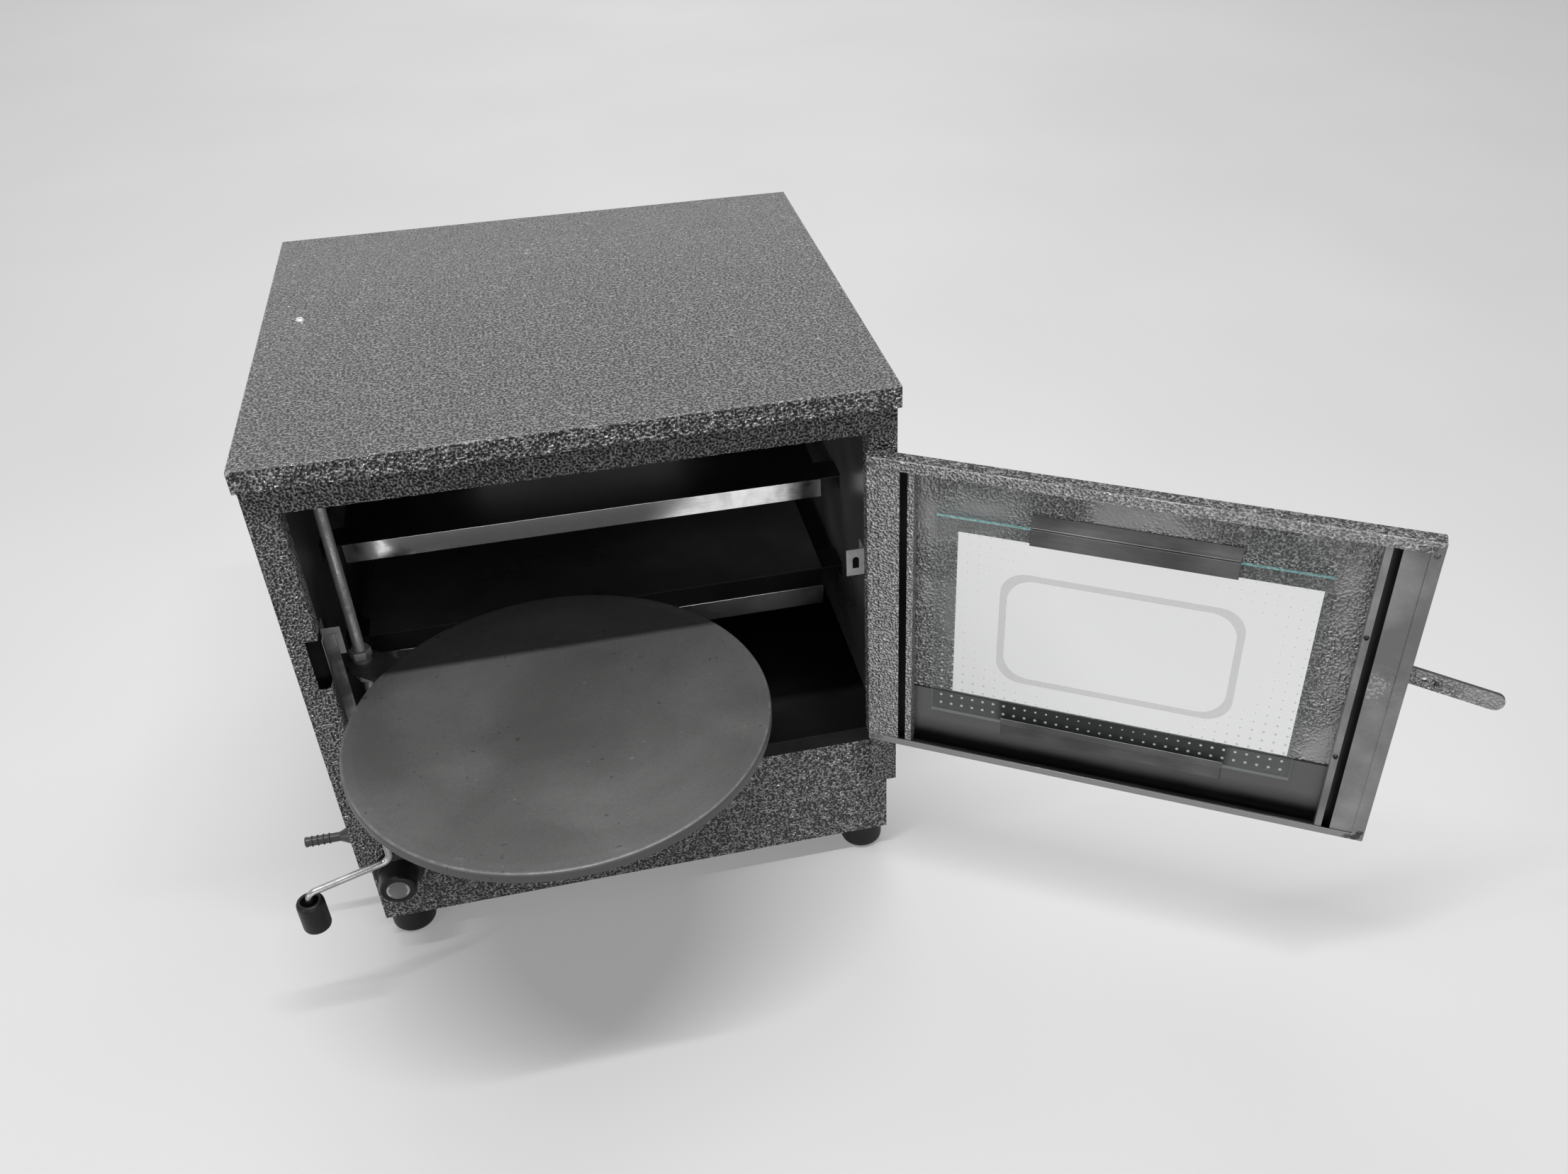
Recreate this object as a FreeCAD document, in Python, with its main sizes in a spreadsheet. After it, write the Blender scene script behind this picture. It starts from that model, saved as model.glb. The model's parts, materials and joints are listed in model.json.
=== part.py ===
import FreeCAD, Part
import math
import os
import re
import Sketcher

# A counter-top gas tandoor oven: a folded-sheet cabinet on rubber feet, a side-hung glazed door,
# a round baking plate that spins on a swing arm, and a ring burner under a hot-gas baffle.
# Frame: X to the right of the front, Y to the back, Z up, origin on the floor under the cabinet centre.
# Heights named "..._height" or "..._level" are measured from the underside of the base box.

SIZES = [
    ("lid_width", 500, "lid width"),
    ("lid_depth", 462, "lid depth"),
    ("lid_skirt", 19, "height of the lid's folded skirt"),
    ("lid_side_overhang", 2, "lid beyond each side panel"),
    ("lid_front_overhang", 7, "lid beyond the front and the back"),
    ("cabinet_height", 480, "base underside to lid top"),
    ("sheet_thickness", 1, "cabinet sheet"),
    ("foot_height", 28, "rubber foot height"),
    ("foot_diameter", 40, "rubber foot diameter"),
    ("foot_rounding", 7, "rounding of the foot's lower edge"),
    ("foot_inset", 21, "foot centre from the base box's side and front"),
    ("stile_width", 24, "front flange of a side panel"),
    ("stile_return", 20, "depth of the stile's return"),
    ("side_panel_level", 62, "lower edge of the side panels"),
    ("base_step", 9, "base box inside the side panel's face"),
    ("apron_height", 116, "top of the front apron"),
    ("apron_lip", 18, "depth of the apron's top lip"),
    ("header_drop", 43, "opening's top below the lid top"),
    ("header_lip", 20, "depth of the header's lower lip"),
    ("base_flange", 32, "inward flange at the foot of the base box"),
    ("rear_flange", 15, "side panel's flange behind the back panel"),
    ("liner_gap", 8, "air gap between a side panel and its liner"),
    ("liner_back_gap", 10, "air gap behind the back liner"),
    ("liner_top_drop", 28, "ceiling below the lid top"),
    ("liner_fold", 15, "folded edge of the ceiling"),
    ("floor_drop", 4, "floor below the apron's top"),
    ("floor_hole_width", 300, "hot-gas opening in the floor, across"),
    ("floor_hole_depth", 180, "hot-gas opening in the floor, front to back"),
    ("flue_width", 240, "flue opening in the back liner"),
    ("flue_height", 30, "flue opening's height"),
    ("flue_drop", 22, "flue opening below the ceiling"),
    ("louvre_count", 9, "flue slots in the back panel"),
    ("louvre_pitch", 26, "flue slot spacing"),
    ("louvre_width", 8, "flue slot width"),
    ("lid_screw_inset", 32, "lid screw from the lid's left edge"),
    ("lid_screw_back", 200, "lid screw from the lid's back edge"),
    ("screw_head", 7, "screw head diameter"),
    ("screw_rise", 1.6, "screw head height"),
    ("baffle_side_gap", 21, "hot-gas gap beside the baffle"),
    ("baffle_setback", 164, "baffle's front edge behind the cabinet front"),
    ("baffle_level", 203, "baffle top"),
    ("baffle_flange", 41, "baffle's front flange"),
    ("baffle_rear_gap", 24, "baffle and shield off the back liner"),
    ("strip_height_low", 21, "bright strip on the baffle"),
    ("shield_clearance", 46, "heat shield above the plate"),
    ("shield_flange", 19, "shield's front flange"),
    ("shield_side_gap", 20, "gap beside the heat shield"),
    ("shelf_bracket_width", 30, "shelf bracket, front to back"),
    ("shelf_bracket_overlap", 6, "bracket under the shelf's edge"),
    ("tab_width", 17, "bright wall tab, across"),
    ("tab_height", 28, "bright wall tab, height"),
    ("tab_level", 252, "bright wall tab's foot"),
    ("tab_setback", 74, "bright wall tab behind the cabinet front"),
    ("jamb_strip_width", 10, "bare strip beside the latch side"),
    ("jamb_strip_rise", 177, "bare strip's top above the door's foot"),
    ("post_diameter", 10, "threaded swing post"),
    ("post_wall_gap", 24, "post axis off the left liner"),
    ("post_setback", 94, "post axis behind the cabinet front"),
    ("post_top_drop", 14, "post top below the ceiling"),
    ("post_flange_diameter", 30, "post foot flange"),
    ("post_flange_height", 8, "post foot flange's height"),
    ("post_bracket_plate", 4, "upper post bracket's plate"),
    ("nut_flats", 17, "nut across flats"),
    ("nut_height", 8, "nut height"),
    ("arm_level", 222, "underside of the swing arm"),
    ("arm_thickness", 6, "swing arm thickness"),
    ("arm_width", 30, "swing arm width"),
    ("arm_rest_angle", -40.1, "arm's heading with the plate swung out"),
    ("bush_diameter", 16, "arm bush outside diameter"),
    ("bush_stand", 4, "bush beyond each face of the arm"),
    ("running_clearance", 0.05, "radial clearance of turning fits"),
    ("face_clearance", 0.3, "clearance between faces that turn past each other"),
    ("plate_diameter", 347.4, "baking plate"),
    ("plate_thickness", 9, "baking plate thickness"),
    ("plate_edge", 1.5, "chamfer round the plate's top edge"),
    ("plate_post_clearance", 40.5, "plate's edge off the post axis"),
    ("plate_hub_diameter", 36, "hub under the plate"),
    ("plate_hub_height", 2.7, "hub height"),
    ("plate_pin_diameter", 12, "pin that carries the plate"),
    ("plate_pin_head", 20, "pin head diameter"),
    ("plate_pin_head_height", 5, "pin head height"),
    ("plate_pin_depth", 8.4, "pin inside the plate's hub"),
    ("handle_rod_diameter", 6, "handle rod"),
    ("handle_bend", 7, "handle rod's bend radius"),
    ("handle_along", 100, "handle drop along the arm"),
    ("handle_across", 109, "handle drop beside the arm"),
    ("handle_reach_back", 35.4, "lower run, back along the arm"),
    ("handle_reach_out", 60.1, "lower run, away from the arm"),
    ("handle_over_apron", 9, "lower run's centre above the apron"),
    ("grip_diameter", 23, "handle grip diameter"),
    ("grip_length", 31, "handle grip length"),
    ("hinge_radius", 3, "hinge knuckle radius"),
    ("hinge_stand", 3.2, "hinge axis in front of the cabinet face"),
    ("hinge_length", 40, "hinge length"),
    ("hinge_end_margin", 6, "hinge from the door's top and foot"),
    ("hinge_leaf_width", 20, "hinge leaf width"),
    ("hinge_pin_diameter", 3, "hinge pin"),
    ("door_open_angle", 147.7, "door as it stands, from closed"),
    ("door_hinge_gap", 2, "door edge off the hinge axis"),
    ("door_free_gap", 17, "gap at the latch side"),
    ("door_top_gap", 8, "gap above the door"),
    ("door_bottom_gap", 19, "gap below the door"),
    ("door_depth", 13.6, "door thickness"),
    ("door_lip", 9.5, "door pan's inner lip, top and sides"),
    ("door_foot_lip", 7, "door pan's inner lip at the foot"),
    ("window_hinge_margin", 73.7, "window from the hinge edge"),
    ("window_free_margin", 72, "window from the free edge"),
    ("window_top_margin", 64, "window from the door's top"),
    ("window_foot_margin", 64.3, "window from the door's foot"),
    ("glass_thickness", 4, "glass pane"),
    ("glass_lap_hinge", 17.7, "glass beyond the window, hinge side"),
    ("glass_lap_free", 5, "glass beyond the window, free side"),
    ("glass_lap_top", 15.5, "glass above the window"),
    ("glass_lap_foot", 21.3, "glass below the window"),
    ("stile_channel_width", 39.7, "door channel across"),
    ("channel_slot_start", 27.6, "channel's slot from the door edge"),
    ("channel_slot", 6.5, "channel's slot width"),
    ("clip_inset", 77, "top clip from the glass's hinge edge"),
    ("clip_width", 161, "top clip width"),
    ("clip_lap", 14, "top clip over the glass"),
    ("clip_flange", 11, "top clip's flange on the door"),
    ("rail_inset", 63, "bottom rail from the glass's hinge edge"),
    ("rail_width", 189, "bottom rail width"),
    ("rail_lip", 6, "bottom rail's lip over the glass"),
    ("rail_flange", 16, "bottom rail's flange on the door"),
    ("door_screw_low", 84, "lower door screw above the door's foot"),
    ("door_screw_high", 203, "upper door screw above the door's foot"),
    ("latch_height", 171, "latch pivot above the door's foot"),
    ("latch_inset", 25, "latch pivot inside the free edge"),
    ("latch_reach", 73, "lever beyond the free edge"),
    ("latch_width", 15, "lever width"),
    ("latch_thickness", 3, "lever thickness"),
    ("latch_droop_angle", 10, "lever below level at rest"),
    ("latch_tail", 10, "lever behind its pivot"),
    ("latch_gap", 0.5, "lever off the door's face"),
    ("latch_pivot_diameter", 6, "lever's pivot screw"),
    ("latch_pivot_head", 12, "pivot screw head"),
    ("latch_pivot_head_height", 2, "pivot screw head height"),
    ("latch_hole", 4, "hole in the lever beyond the door"),
    ("latch_hole_past", 13, "lever's hole beyond the free edge"),
    ("latch_pin_diameter", 4, "lever's catch pin"),
    ("latch_pin_length", 6, "catch pin length"),
    ("notch_depth", 10, "notch in the left stile"),
    ("notch_below", 34, "notch's foot below the latch pivot"),
    ("notch_above", 14, "notch's top above the latch pivot"),
    ("burner_back_gap", 124, "burner centre in front of the cabinet back"),
    ("burner_level", 67, "burner centre height"),
    ("burner_ring_radius", 90, "ring burner's radius"),
    ("burner_tube_diameter", 24, "ring burner's tube"),
    ("mixing_tube_diameter", 20, "mixing tube"),
    ("mixing_tube_gap", 5, "air gap between jet and mixing tube"),
    ("burner_bar_width", 20, "burner support bar width"),
    ("burner_bar_thickness", 4, "burner support bar thickness"),
    ("burner_bar_spacing", 120, "between the support bars"),
    ("burner_leg_diameter", 8, "burner leg"),
    ("burner_leg_length", 4, "burner leg below the ring"),
    ("valve_inset", 24, "valve stem inside the base box's left side"),
    ("valve_level", 62, "valve stem height"),
    ("valve_width", 26, "valve block width"),
    ("valve_depth", 36, "valve block depth"),
    ("valve_foot", 12, "valve block below the stem"),
    ("valve_top", 36, "valve block above the stem"),
    ("valve_neck_diameter", 18, "valve neck"),
    ("valve_neck_length", 10, "valve neck length"),
    ("stem_diameter", 8, "valve stem"),
    ("stem_depth", 26, "stem inside the valve"),
    ("stem_hole", 12, "hole for the stem in the apron"),
    ("inlet_rise", 24, "gas inlet above the stem"),
    ("inlet_setback", 28, "gas inlet behind the cabinet front"),
    ("inlet_diameter", 10, "gas hose spigot"),
    ("inlet_bore", 6, "gas hose spigot's bore"),
    ("inlet_reach", 44, "spigot beyond the side panel"),
    ("inlet_hole", 14, "hole for the spigot"),
    ("inlet_collar", 18, "spigot's collar diameter"),
    ("inlet_collar_width", 3, "spigot's collar against the side panel"),
    ("pipe_diameter", 8, "gas pipe"),
    ("pipe_bend", 16, "gas pipe's bend radius"),
    ("jet_diameter", 12, "gas jet"),
    ("jet_length", 20, "gas jet length"),
    ("knob_skirt_diameter", 44, "knob skirt"),
    ("knob_skirt_height", 5, "knob skirt thickness"),
    ("knob_diameter", 34, "knob body"),
    ("knob_face_diameter", 30, "knob face"),
    ("knob_length", 28, "knob length"),
    ("knob_gap", 1, "knob off the cabinet face"),
    ("knob_bore_depth", 16, "stem's hole in the knob"),
    ("knob_mark_width", 2.4, "knob's pointer groove"),
    ("knob_mark_depth", 1, "knob's pointer groove depth"),
]

PLACES = {
    "t": "sheet_thickness",
    "half": "lid_width / 2 - lid_side_overhang",
    "face": "lid_depth / 2 - lid_front_overhang",
    "base_half": "half - base_step",
    "liner_half": "half - t - liner_gap",
    "room_half": "liner_half - t",
    "opening_half": "half - stile_width",
    "lid_under": "foot_height + cabinet_height - t",
    "panel_low": "foot_height + side_panel_level",
    "apron_top": "foot_height + apron_height",
    "opening_top": "foot_height + cabinet_height - header_drop",
    "floor_top": "apron_top - floor_drop + t",
    "jamb_y": "-face + stile_return",
    "back_liner_y": "face - t - liner_back_gap",
    "ceiling": "foot_height + cabinet_height - liner_top_drop",
    "burner_y": "face - burner_back_gap",
    "burner_z": "foot_height + burner_level",
    "baffle_y": "-face + baffle_setback",
    "shelf_rear": "back_liner_y - t - baffle_rear_gap",
    "baffle_top": "foot_height + baffle_level",
    "baffle_half": "room_half - baffle_side_gap",
    "shield_half": "room_half - shield_side_gap",
    "arm_low": "foot_height + arm_level",
    "arm_top": "arm_low + arm_thickness",
    "hub_low": "arm_top + face_clearance",
    "plate_low": "hub_low + plate_hub_height",
    "plate_top": "plate_low + plate_thickness",
    "plate_radius": "plate_diameter / 2",
    "arm_length": "plate_radius + plate_post_clearance",
    "shield_low": "plate_top + shield_clearance",
    "shield_top": "shield_low + shield_flange",
    "post_x": "-room_half + post_wall_gap",
    "post_y": "-face + post_setback",
    "post_top": "ceiling - post_top_drop",
    "bush_low": "arm_low - bush_stand",
    "bush_top": "arm_top + bush_stand",
    "handle_low": "apron_top + handle_over_apron",
    "grip_top": "handle_low - handle_bend",
    "hinge_x": "opening_half",
    "hinge_y": "-face - hinge_stand",
    "door_end": "2 * opening_half - door_free_gap",
    "door_foot": "apron_top + door_bottom_gap",
    "door_head": "opening_top - door_top_gap",
    "door_out": "-hinge_stand",
    "door_in": "-hinge_stand - door_depth",
    "window_a": "door_hinge_gap + window_hinge_margin",
    "window_b": "door_end - window_free_margin",
    "window_low": "door_foot + window_foot_margin",
    "window_top": "door_head - window_top_margin",
    "glass_a": "window_a - glass_lap_hinge",
    "glass_b": "window_b + glass_lap_free",
    "glass_low": "window_low - glass_lap_foot",
    "glass_top": "window_top + glass_lap_top",
    "glass_out": "door_out - 2 * t",
    "glass_in": "glass_out - glass_thickness",
    "channel_in": "door_in + t",
    "latch_x": "door_end - latch_inset",
    "latch_z": "door_foot + latch_height",
    "latch_back": "door_out + latch_gap",
    "latch_catch": "latch_inset + door_free_gap + notch_depth / 2",
    "valve_x": "-base_half + valve_inset",
    "valve_z": "foot_height + valve_level",
    "valve_front": "-face + 2 * t + valve_neck_length",
    "inlet_z": "valve_z + inlet_rise",
    "inlet_y": "-face + inlet_setback",
    "valve_left": "valve_x - valve_width / 2",
    "pipe_end_x": "valve_x + pipe_bend + jet_diameter",
    "jet_tip_x": "pipe_end_x + jet_length",
    "knob_back": "-face - knob_gap",
    "knob_front": "knob_back - knob_length",
}

doc = FreeCAD.newDocument("GasTandoor")
sheet = doc.addObject("Spreadsheet::Sheet", "Sizes")
for row, (alias, size, note) in enumerate(SIZES, start=1):
    sheet.set("A%d" % row, note)
    sheet.set("B%d" % row, str(size))
    sheet.setAlias("B%d" % row, alias)
doc.recompute()
ALIASES = {alias for alias, size, note in SIZES}
SUBPARTS = []


def formula(text):
    """Write a size or place in terms of the sheet's cells."""
    def cell(match):
        word = match.group(0)
        if word in PLACES:
            return "(" + formula(PLACES[word]) + ")"
        return "Sizes." + word if word in ALIASES else word
    return re.sub(r"[A-Za-z_]\w*", cell, str(text))


def number(text):
    """The value of a size or place in millimetres or degrees."""
    return float(sheet.evalExpression(formula(text)))


def bind(item, prop, text):
    item.setExpression(prop, formula(text))


def put(item, x, y, z):
    bind(item, "Placement.Base.x", x)
    bind(item, "Placement.Base.y", y)
    bind(item, "Placement.Base.z", z)


def block(name, x, y, z):
    """A box given by its low and high place along each axis."""
    box = doc.addObject("Part::Box", name)
    for prop, (low, high) in zip(("Length", "Width", "Height"), (x, y, z)):
        bind(box, prop, "(%s) - (%s)" % (high, low))
    put(box, x[0], y[0], z[0])
    return box


AXIS_TURN = {
    "X": FreeCAD.Rotation(FreeCAD.Vector(0, 1, 0), 90),
    "Y": FreeCAD.Rotation(FreeCAD.Vector(1, 0, 0), -90),
    "Z": FreeCAD.Rotation(),
}


def bar(name, axis, diameter, start, end, across):
    """A round bar along an axis, from start to end, through the other two places."""
    rod = doc.addObject("Part::Cylinder", name)
    rod.Placement = FreeCAD.Placement(FreeCAD.Vector(), AXIS_TURN[axis])
    bind(rod, "Radius", "(%s) / 2" % diameter)
    bind(rod, "Height", "(%s) - (%s)" % (end, start))
    where = list(across)
    where.insert("XYZ".index(axis), start)
    put(rod, *where)
    return rod


def nut(name, low, across):
    """A hexagon nut on a vertical axis."""
    prism = doc.addObject("Part::Prism", name)
    prism.Polygon = 6
    bind(prism, "Circumradius", "nut_flats / (2 * cos(30))")
    bind(prism, "Height", "nut_height")
    put(prism, across[0], across[1], low)
    return prism


def join(name, *pieces):
    fused = doc.addObject("Part::MultiFuse", name)
    fused.Shapes = list(pieces)
    fused.Refine = True
    return fused


def less(name, base, *tools):
    tool = tools[0] if len(tools) == 1 else join(name + "_tools", *tools)
    rest = doc.addObject("Part::Cut", name)
    rest.Base = base
    rest.Tool = tool
    rest.Refine = True
    return rest


def group(name, *pieces):
    lot = doc.addObject("Part::Compound", name)
    lot.Links = list(pieces)
    return lot


def subpart(label, item):
    """Name a finished piece, which becomes one node."""
    item.Label = label
    SUBPARTS.append(item)
    return item


def on_door(item):
    """Stand a piece made in the door's own frame, X from the hinge axis along the door, on its hinge."""
    item.Placement = FreeCAD.Placement(FreeCAD.Vector(), FreeCAD.Rotation(FreeCAD.Vector(0, 0, 1), 10))
    put(item, "hinge_x", "hinge_y", "0")
    bind(item, "Placement.Rotation.Angle", "door_open_angle - 180")
    return item


def on_arm(item):
    """Stand a piece made in the arm's own frame, X from the post along the arm, on its post."""
    item.Placement = FreeCAD.Placement(FreeCAD.Vector(), FreeCAD.Rotation(FreeCAD.Vector(0, 0, 1), -10))
    put(item, "post_x", "post_y", "0")
    bind(item, "Placement.Rotation.Angle", "arm_rest_angle")
    return item


def plane_of(body, role):
    return next(item for item in body.Origin.OriginFeatures if item.Role == role)


def outline(body, name, role, points):
    """A closed sketch of straight lines whose corners are bound to the sheet."""
    sketch = body.newObject("Sketcher::SketchObject", name)
    sketch.AttachmentSupport = [(plane_of(body, role), "")]
    sketch.MapMode = "FlatFace"
    corners = [FreeCAD.Vector(number(u), number(v), 0) for u, v in points]
    count = len(points)
    for index in range(count):
        sketch.addGeometry(Part.LineSegment(corners[index], corners[(index + 1) % count]), False)
    for index in range(count):
        sketch.addConstraint(Sketcher.Constraint("Coincident", index, 2, (index + 1) % count, 1))
    for index, (u, v) in enumerate(points):
        for kind, text, value in (("DistanceX", u, corners[index].x), ("DistanceY", v, corners[index].y)):
            at = sketch.addConstraint(Sketcher.Constraint(kind, -1, 1, index, 1, value))
            bind(sketch, "Constraints[%d]" % at, text)
    return sketch


def turned(name, role, points):
    """A body of revolution about its sketch's vertical axis."""
    body = doc.addObject("PartDesign::Body", name)
    sketch = outline(body, name + "_profile", role, points)
    turn = body.newObject("PartDesign::Revolution", name + "_turn")
    turn.Profile = sketch
    turn.ReferenceAxis = (sketch, ["V_Axis"])
    turn.Angle = 360
    body.Tip = turn
    doc.recompute()
    return body


def rounded_edge(body, name, size, chosen):
    """Fillet the body's edges that the test chooses."""
    base = body.Tip
    fillet = body.newObject("PartDesign::Fillet", name)
    edges = ["Edge%d" % (i + 1) for i, edge in enumerate(base.Shape.Edges) if chosen(edge)]
    fillet.Base = (base, edges)
    bind(fillet, "Radius", size)
    body.Tip = fillet
    doc.recompute()


def sides(side, low, high):
    """A range across the cabinet, mirrored on the left."""
    return (low, high) if side == "right" else ("-(%s)" % high, "-(%s)" % low)


# Lid: a flat top with a skirt folded down all round
lid = join(
    "lid",
    block("lid_top", ("-lid_width / 2", "lid_width / 2"), ("-lid_depth / 2", "lid_depth / 2"),
          ("lid_under", "lid_under + t")),
    *[block("lid_skirt_" + side, sides(side, "lid_width / 2 - t", "lid_width / 2"),
            ("-lid_depth / 2", "lid_depth / 2"), ("lid_under + t - lid_skirt", "lid_under"))
      for side in ("left", "right")],
    block("lid_skirt_front", ("-lid_width / 2", "lid_width / 2"),
          ("-lid_depth / 2", "-lid_depth / 2 + t"),
          ("lid_under + t - lid_skirt", "lid_under")),
    block("lid_skirt_back", ("-lid_width / 2", "lid_width / 2"), ("lid_depth / 2 - t", "lid_depth / 2"),
          ("lid_under + t - lid_skirt", "lid_under")))
subpart("lid", lid)

# Side panels: outer wall, front stile with its return, rear flange and a foot fold against the base box
for side in ("left", "right"):
    panel_z = ("panel_low", "lid_under")
    panel = join(
        "side_panel_folded_" + side,
        block("side_wall_" + side, sides(side, "half - t", "half"), ("-face", "face"), panel_z),
        block("stile_" + side, sides(side, "opening_half", "half"), ("-face", "-face + t"), panel_z),
        block("stile_return_" + side, sides(side, "opening_half", "opening_half + t"),
              ("-face", "jamb_y"),
              ("apron_top", "lid_under")),
        block("stile_fold_" + side, sides(side, "opening_half", "liner_half"), ("jamb_y - t", "jamb_y"),
              ("apron_top", "ceiling")),
        block("rear_flange_" + side, sides(side, "half - rear_flange", "half"),
              ("face - 2 * t", "face - t"), panel_z),
        block("foot_fold_" + side, sides(side, "base_half", "half"), ("-face + 2 * t", "face - 2 * t"),
              ("panel_low", "panel_low + t")))
    if side == "left":
        notch = block("latch_notch", ("-opening_half - notch_depth", "-opening_half"),
                      ("-face - t", "jamb_y - 2 * t"),
                      ("latch_z - notch_below", "latch_z + notch_above"))
        port = bar("side_inlet_hole", "X", "inlet_hole", "-half - t", "-half + 2 * t",
                   ("inlet_y", "inlet_z"))
        panel = less("side_panel_cut", panel, notch, port)
    subpart("side_panel_" + side, panel)

# Back panel with a row of upright flue slots
slots = [block("louvre_%d" % n,
               ("(%d - (louvre_count - 1) / 2) * louvre_pitch - louvre_width / 2" % n,
                "(%d - (louvre_count - 1) / 2) * louvre_pitch + louvre_width / 2" % n),
               ("face - 2 * t", "face + t"), ("ceiling - flue_drop - flue_height", "ceiling - flue_drop"))
         for n in range(int(number("louvre_count")))]
subpart("back_panel", less("back_sheet_cut", block(
    "back_sheet", ("-half + t", "half - t"), ("face - t", "face"),
    ("panel_low", "lid_under")), *slots))

# Header over the opening, between the two stiles
header = join(
    "header_folded",
    block("header_front", ("-opening_half", "opening_half"), ("-face", "-face + t"),
          ("opening_top", "lid_under")),
    block("header_lip_sheet", ("-opening_half", "opening_half"), ("-face", "-face + header_lip"),
          ("opening_top", "opening_top + t")))
subpart("header", header)

# Base box: front apron, two sides and a back, open below
apron = join(
    "apron_folded",
    block("apron_front", ("-base_half", "base_half"), ("-face + t", "-face + 2 * t"),
          ("foot_height", "apron_top")),
    block("apron_lip_sheet", ("-opening_half", "opening_half"), ("-face + t", "-face + t + apron_lip"),
          ("apron_top - t", "apron_top")),
    block("apron_foot", ("-base_half + t", "base_half - t"), ("-face + t", "-face + t + base_flange"),
          ("foot_height", "foot_height + t")))
stem_hole = bar("stem_hole_tool", "Y", "stem_hole", "-face", "-face + 3 * t", ("valve_x", "valve_z"))
subpart("apron", less("apron_cut", apron, stem_hole))
for side in ("left", "right"):
    wall = join(
        "base_side_folded_" + side,
        block("base_wall_" + side, sides(side, "base_half - t", "base_half"),
              ("-face + 2 * t", "face - 3 * t"),
              ("foot_height", "floor_top - t")),
        block("base_foot_" + side, sides(side, "base_half - base_flange", "base_half"),
              ("-face + t + base_flange", "face - 3 * t - base_flange"),
              ("foot_height", "foot_height + t")),
        block("base_head_" + side, sides(side, "base_half - base_flange", "base_half"),
              ("-face + 2 * t", "face - 3 * t"), ("floor_top - 2 * t", "floor_top - t")))
    if side == "left":
        wall = less("base_side_cut", wall, bar("base_inlet_hole", "X", "inlet_hole", "-base_half - t",
                                               "-base_half + 2 * t", ("inlet_y", "inlet_z")))
    subpart("base_side_" + side, wall)
base_back = join(
    "base_back_folded",
    block("base_back_wall", ("-base_half", "base_half"), ("face - 3 * t", "face - 2 * t"),
          ("foot_height", "floor_top - t")),
    block("base_back_foot", ("-base_half + t", "base_half - t"),
          ("face - 3 * t - base_flange", "face - 3 * t"),
          ("foot_height", "foot_height + t")))
subpart("base_back", base_back)

# Oven floor, resting on the base box, with the hot-gas opening over the burner
floor = less(
    "floor_cut",
    block("floor_sheet", ("-liner_half", "liner_half"), ("-face + 2 * t", "face - 2 * t"),
          ("floor_top - t", "floor_top")),
    block("floor_hole", ("-floor_hole_width / 2", "floor_hole_width / 2"),
          ("burner_y - floor_hole_depth / 2", "burner_y + floor_hole_depth / 2"),
          ("floor_top - 2 * t", "floor_top + t")))
subpart("oven_floor", floor)

# Inner liner: two walls, a back with the flue opening, and a ceiling with folded edges
for side in ("left", "right"):
    subpart("liner_" + side, block("liner_sheet_" + side, sides(side, "room_half", "liner_half"),
                                   ("jamb_y", "back_liner_y"), ("floor_top", "ceiling")))
subpart("liner_back", less(
    "liner_back_cut",
    block("liner_back_sheet", ("-room_half", "room_half"), ("back_liner_y - t", "back_liner_y"),
          ("floor_top", "ceiling")),
    block("flue_hole", ("-flue_width / 2", "flue_width / 2"),
          ("back_liner_y - 2 * t", "back_liner_y + t"),
          ("ceiling - flue_drop - flue_height", "ceiling - flue_drop"))))
subpart("oven_ceiling", join(
    "ceiling_folded",
    block("ceiling_sheet", ("-room_half", "room_half"), ("-face + header_lip", "back_liner_y - t"),
          ("ceiling - t", "ceiling")),
    *[block("ceiling_fold_" + side, sides(side, "room_half - t", "room_half"),
            ("jamb_y", "back_liner_y - t"),
            ("ceiling - liner_fold", "ceiling")) for side in ("left", "right")]))

# Hot-gas baffle and heat shield, each on four wall brackets, with a bright strip along the front
subpart("burner_baffle", join(
    "baffle_folded",
    block("baffle_sheet", ("-baffle_half", "baffle_half"), ("baffle_y", "shelf_rear"),
          ("baffle_top - t", "baffle_top")),
    block("baffle_front", ("-baffle_half", "baffle_half"), ("baffle_y", "baffle_y + t"),
          ("baffle_top - baffle_flange", "baffle_top"))))
subpart("baffle_strip", block(
    "baffle_strip_sheet", ("-baffle_half", "baffle_half"), ("baffle_y - t", "baffle_y"),
    ("baffle_top - baffle_flange", "baffle_top - baffle_flange + strip_height_low")))
subpart("heat_shield", join(
    "shield_folded",
    block("shield_sheet", ("-shield_half", "shield_half"), ("baffle_y", "shelf_rear"),
          ("shield_top - t", "shield_top")),
    block("shield_front", ("-shield_half", "shield_half"), ("baffle_y", "baffle_y + t"),
          ("shield_low", "shield_top"))))
subpart("shield_strip", block(
    "shield_strip_sheet", ("-shield_half", "shield_half"), ("baffle_y - t", "baffle_y"),
    ("shield_low", "shield_top")))


def shelf_brackets(name, shelf_half, shelf_low):
    """Four angle brackets on the liner walls under the two edges of a shelf."""
    brackets = []
    for side in ("left", "right"):
        for spot, start in (("front", "baffle_y + 2 * t"), ("rear", "shelf_rear - shelf_bracket_width")):
            run = (start, start + " + shelf_bracket_width")
            key = "_%s_%s" % (side, spot)
            brackets.append(join(
                name + key,
                block(name + "_seat" + key,
                      sides(side, shelf_half + " - shelf_bracket_overlap", "room_half"), run,
                      (shelf_low + " - t", shelf_low)),
                block(name + "_leg" + key, sides(side, "room_half - t", "room_half"), run,
                      (shelf_low + " - shelf_bracket_width / 2", shelf_low))))
    return group(name, *brackets)


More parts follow.
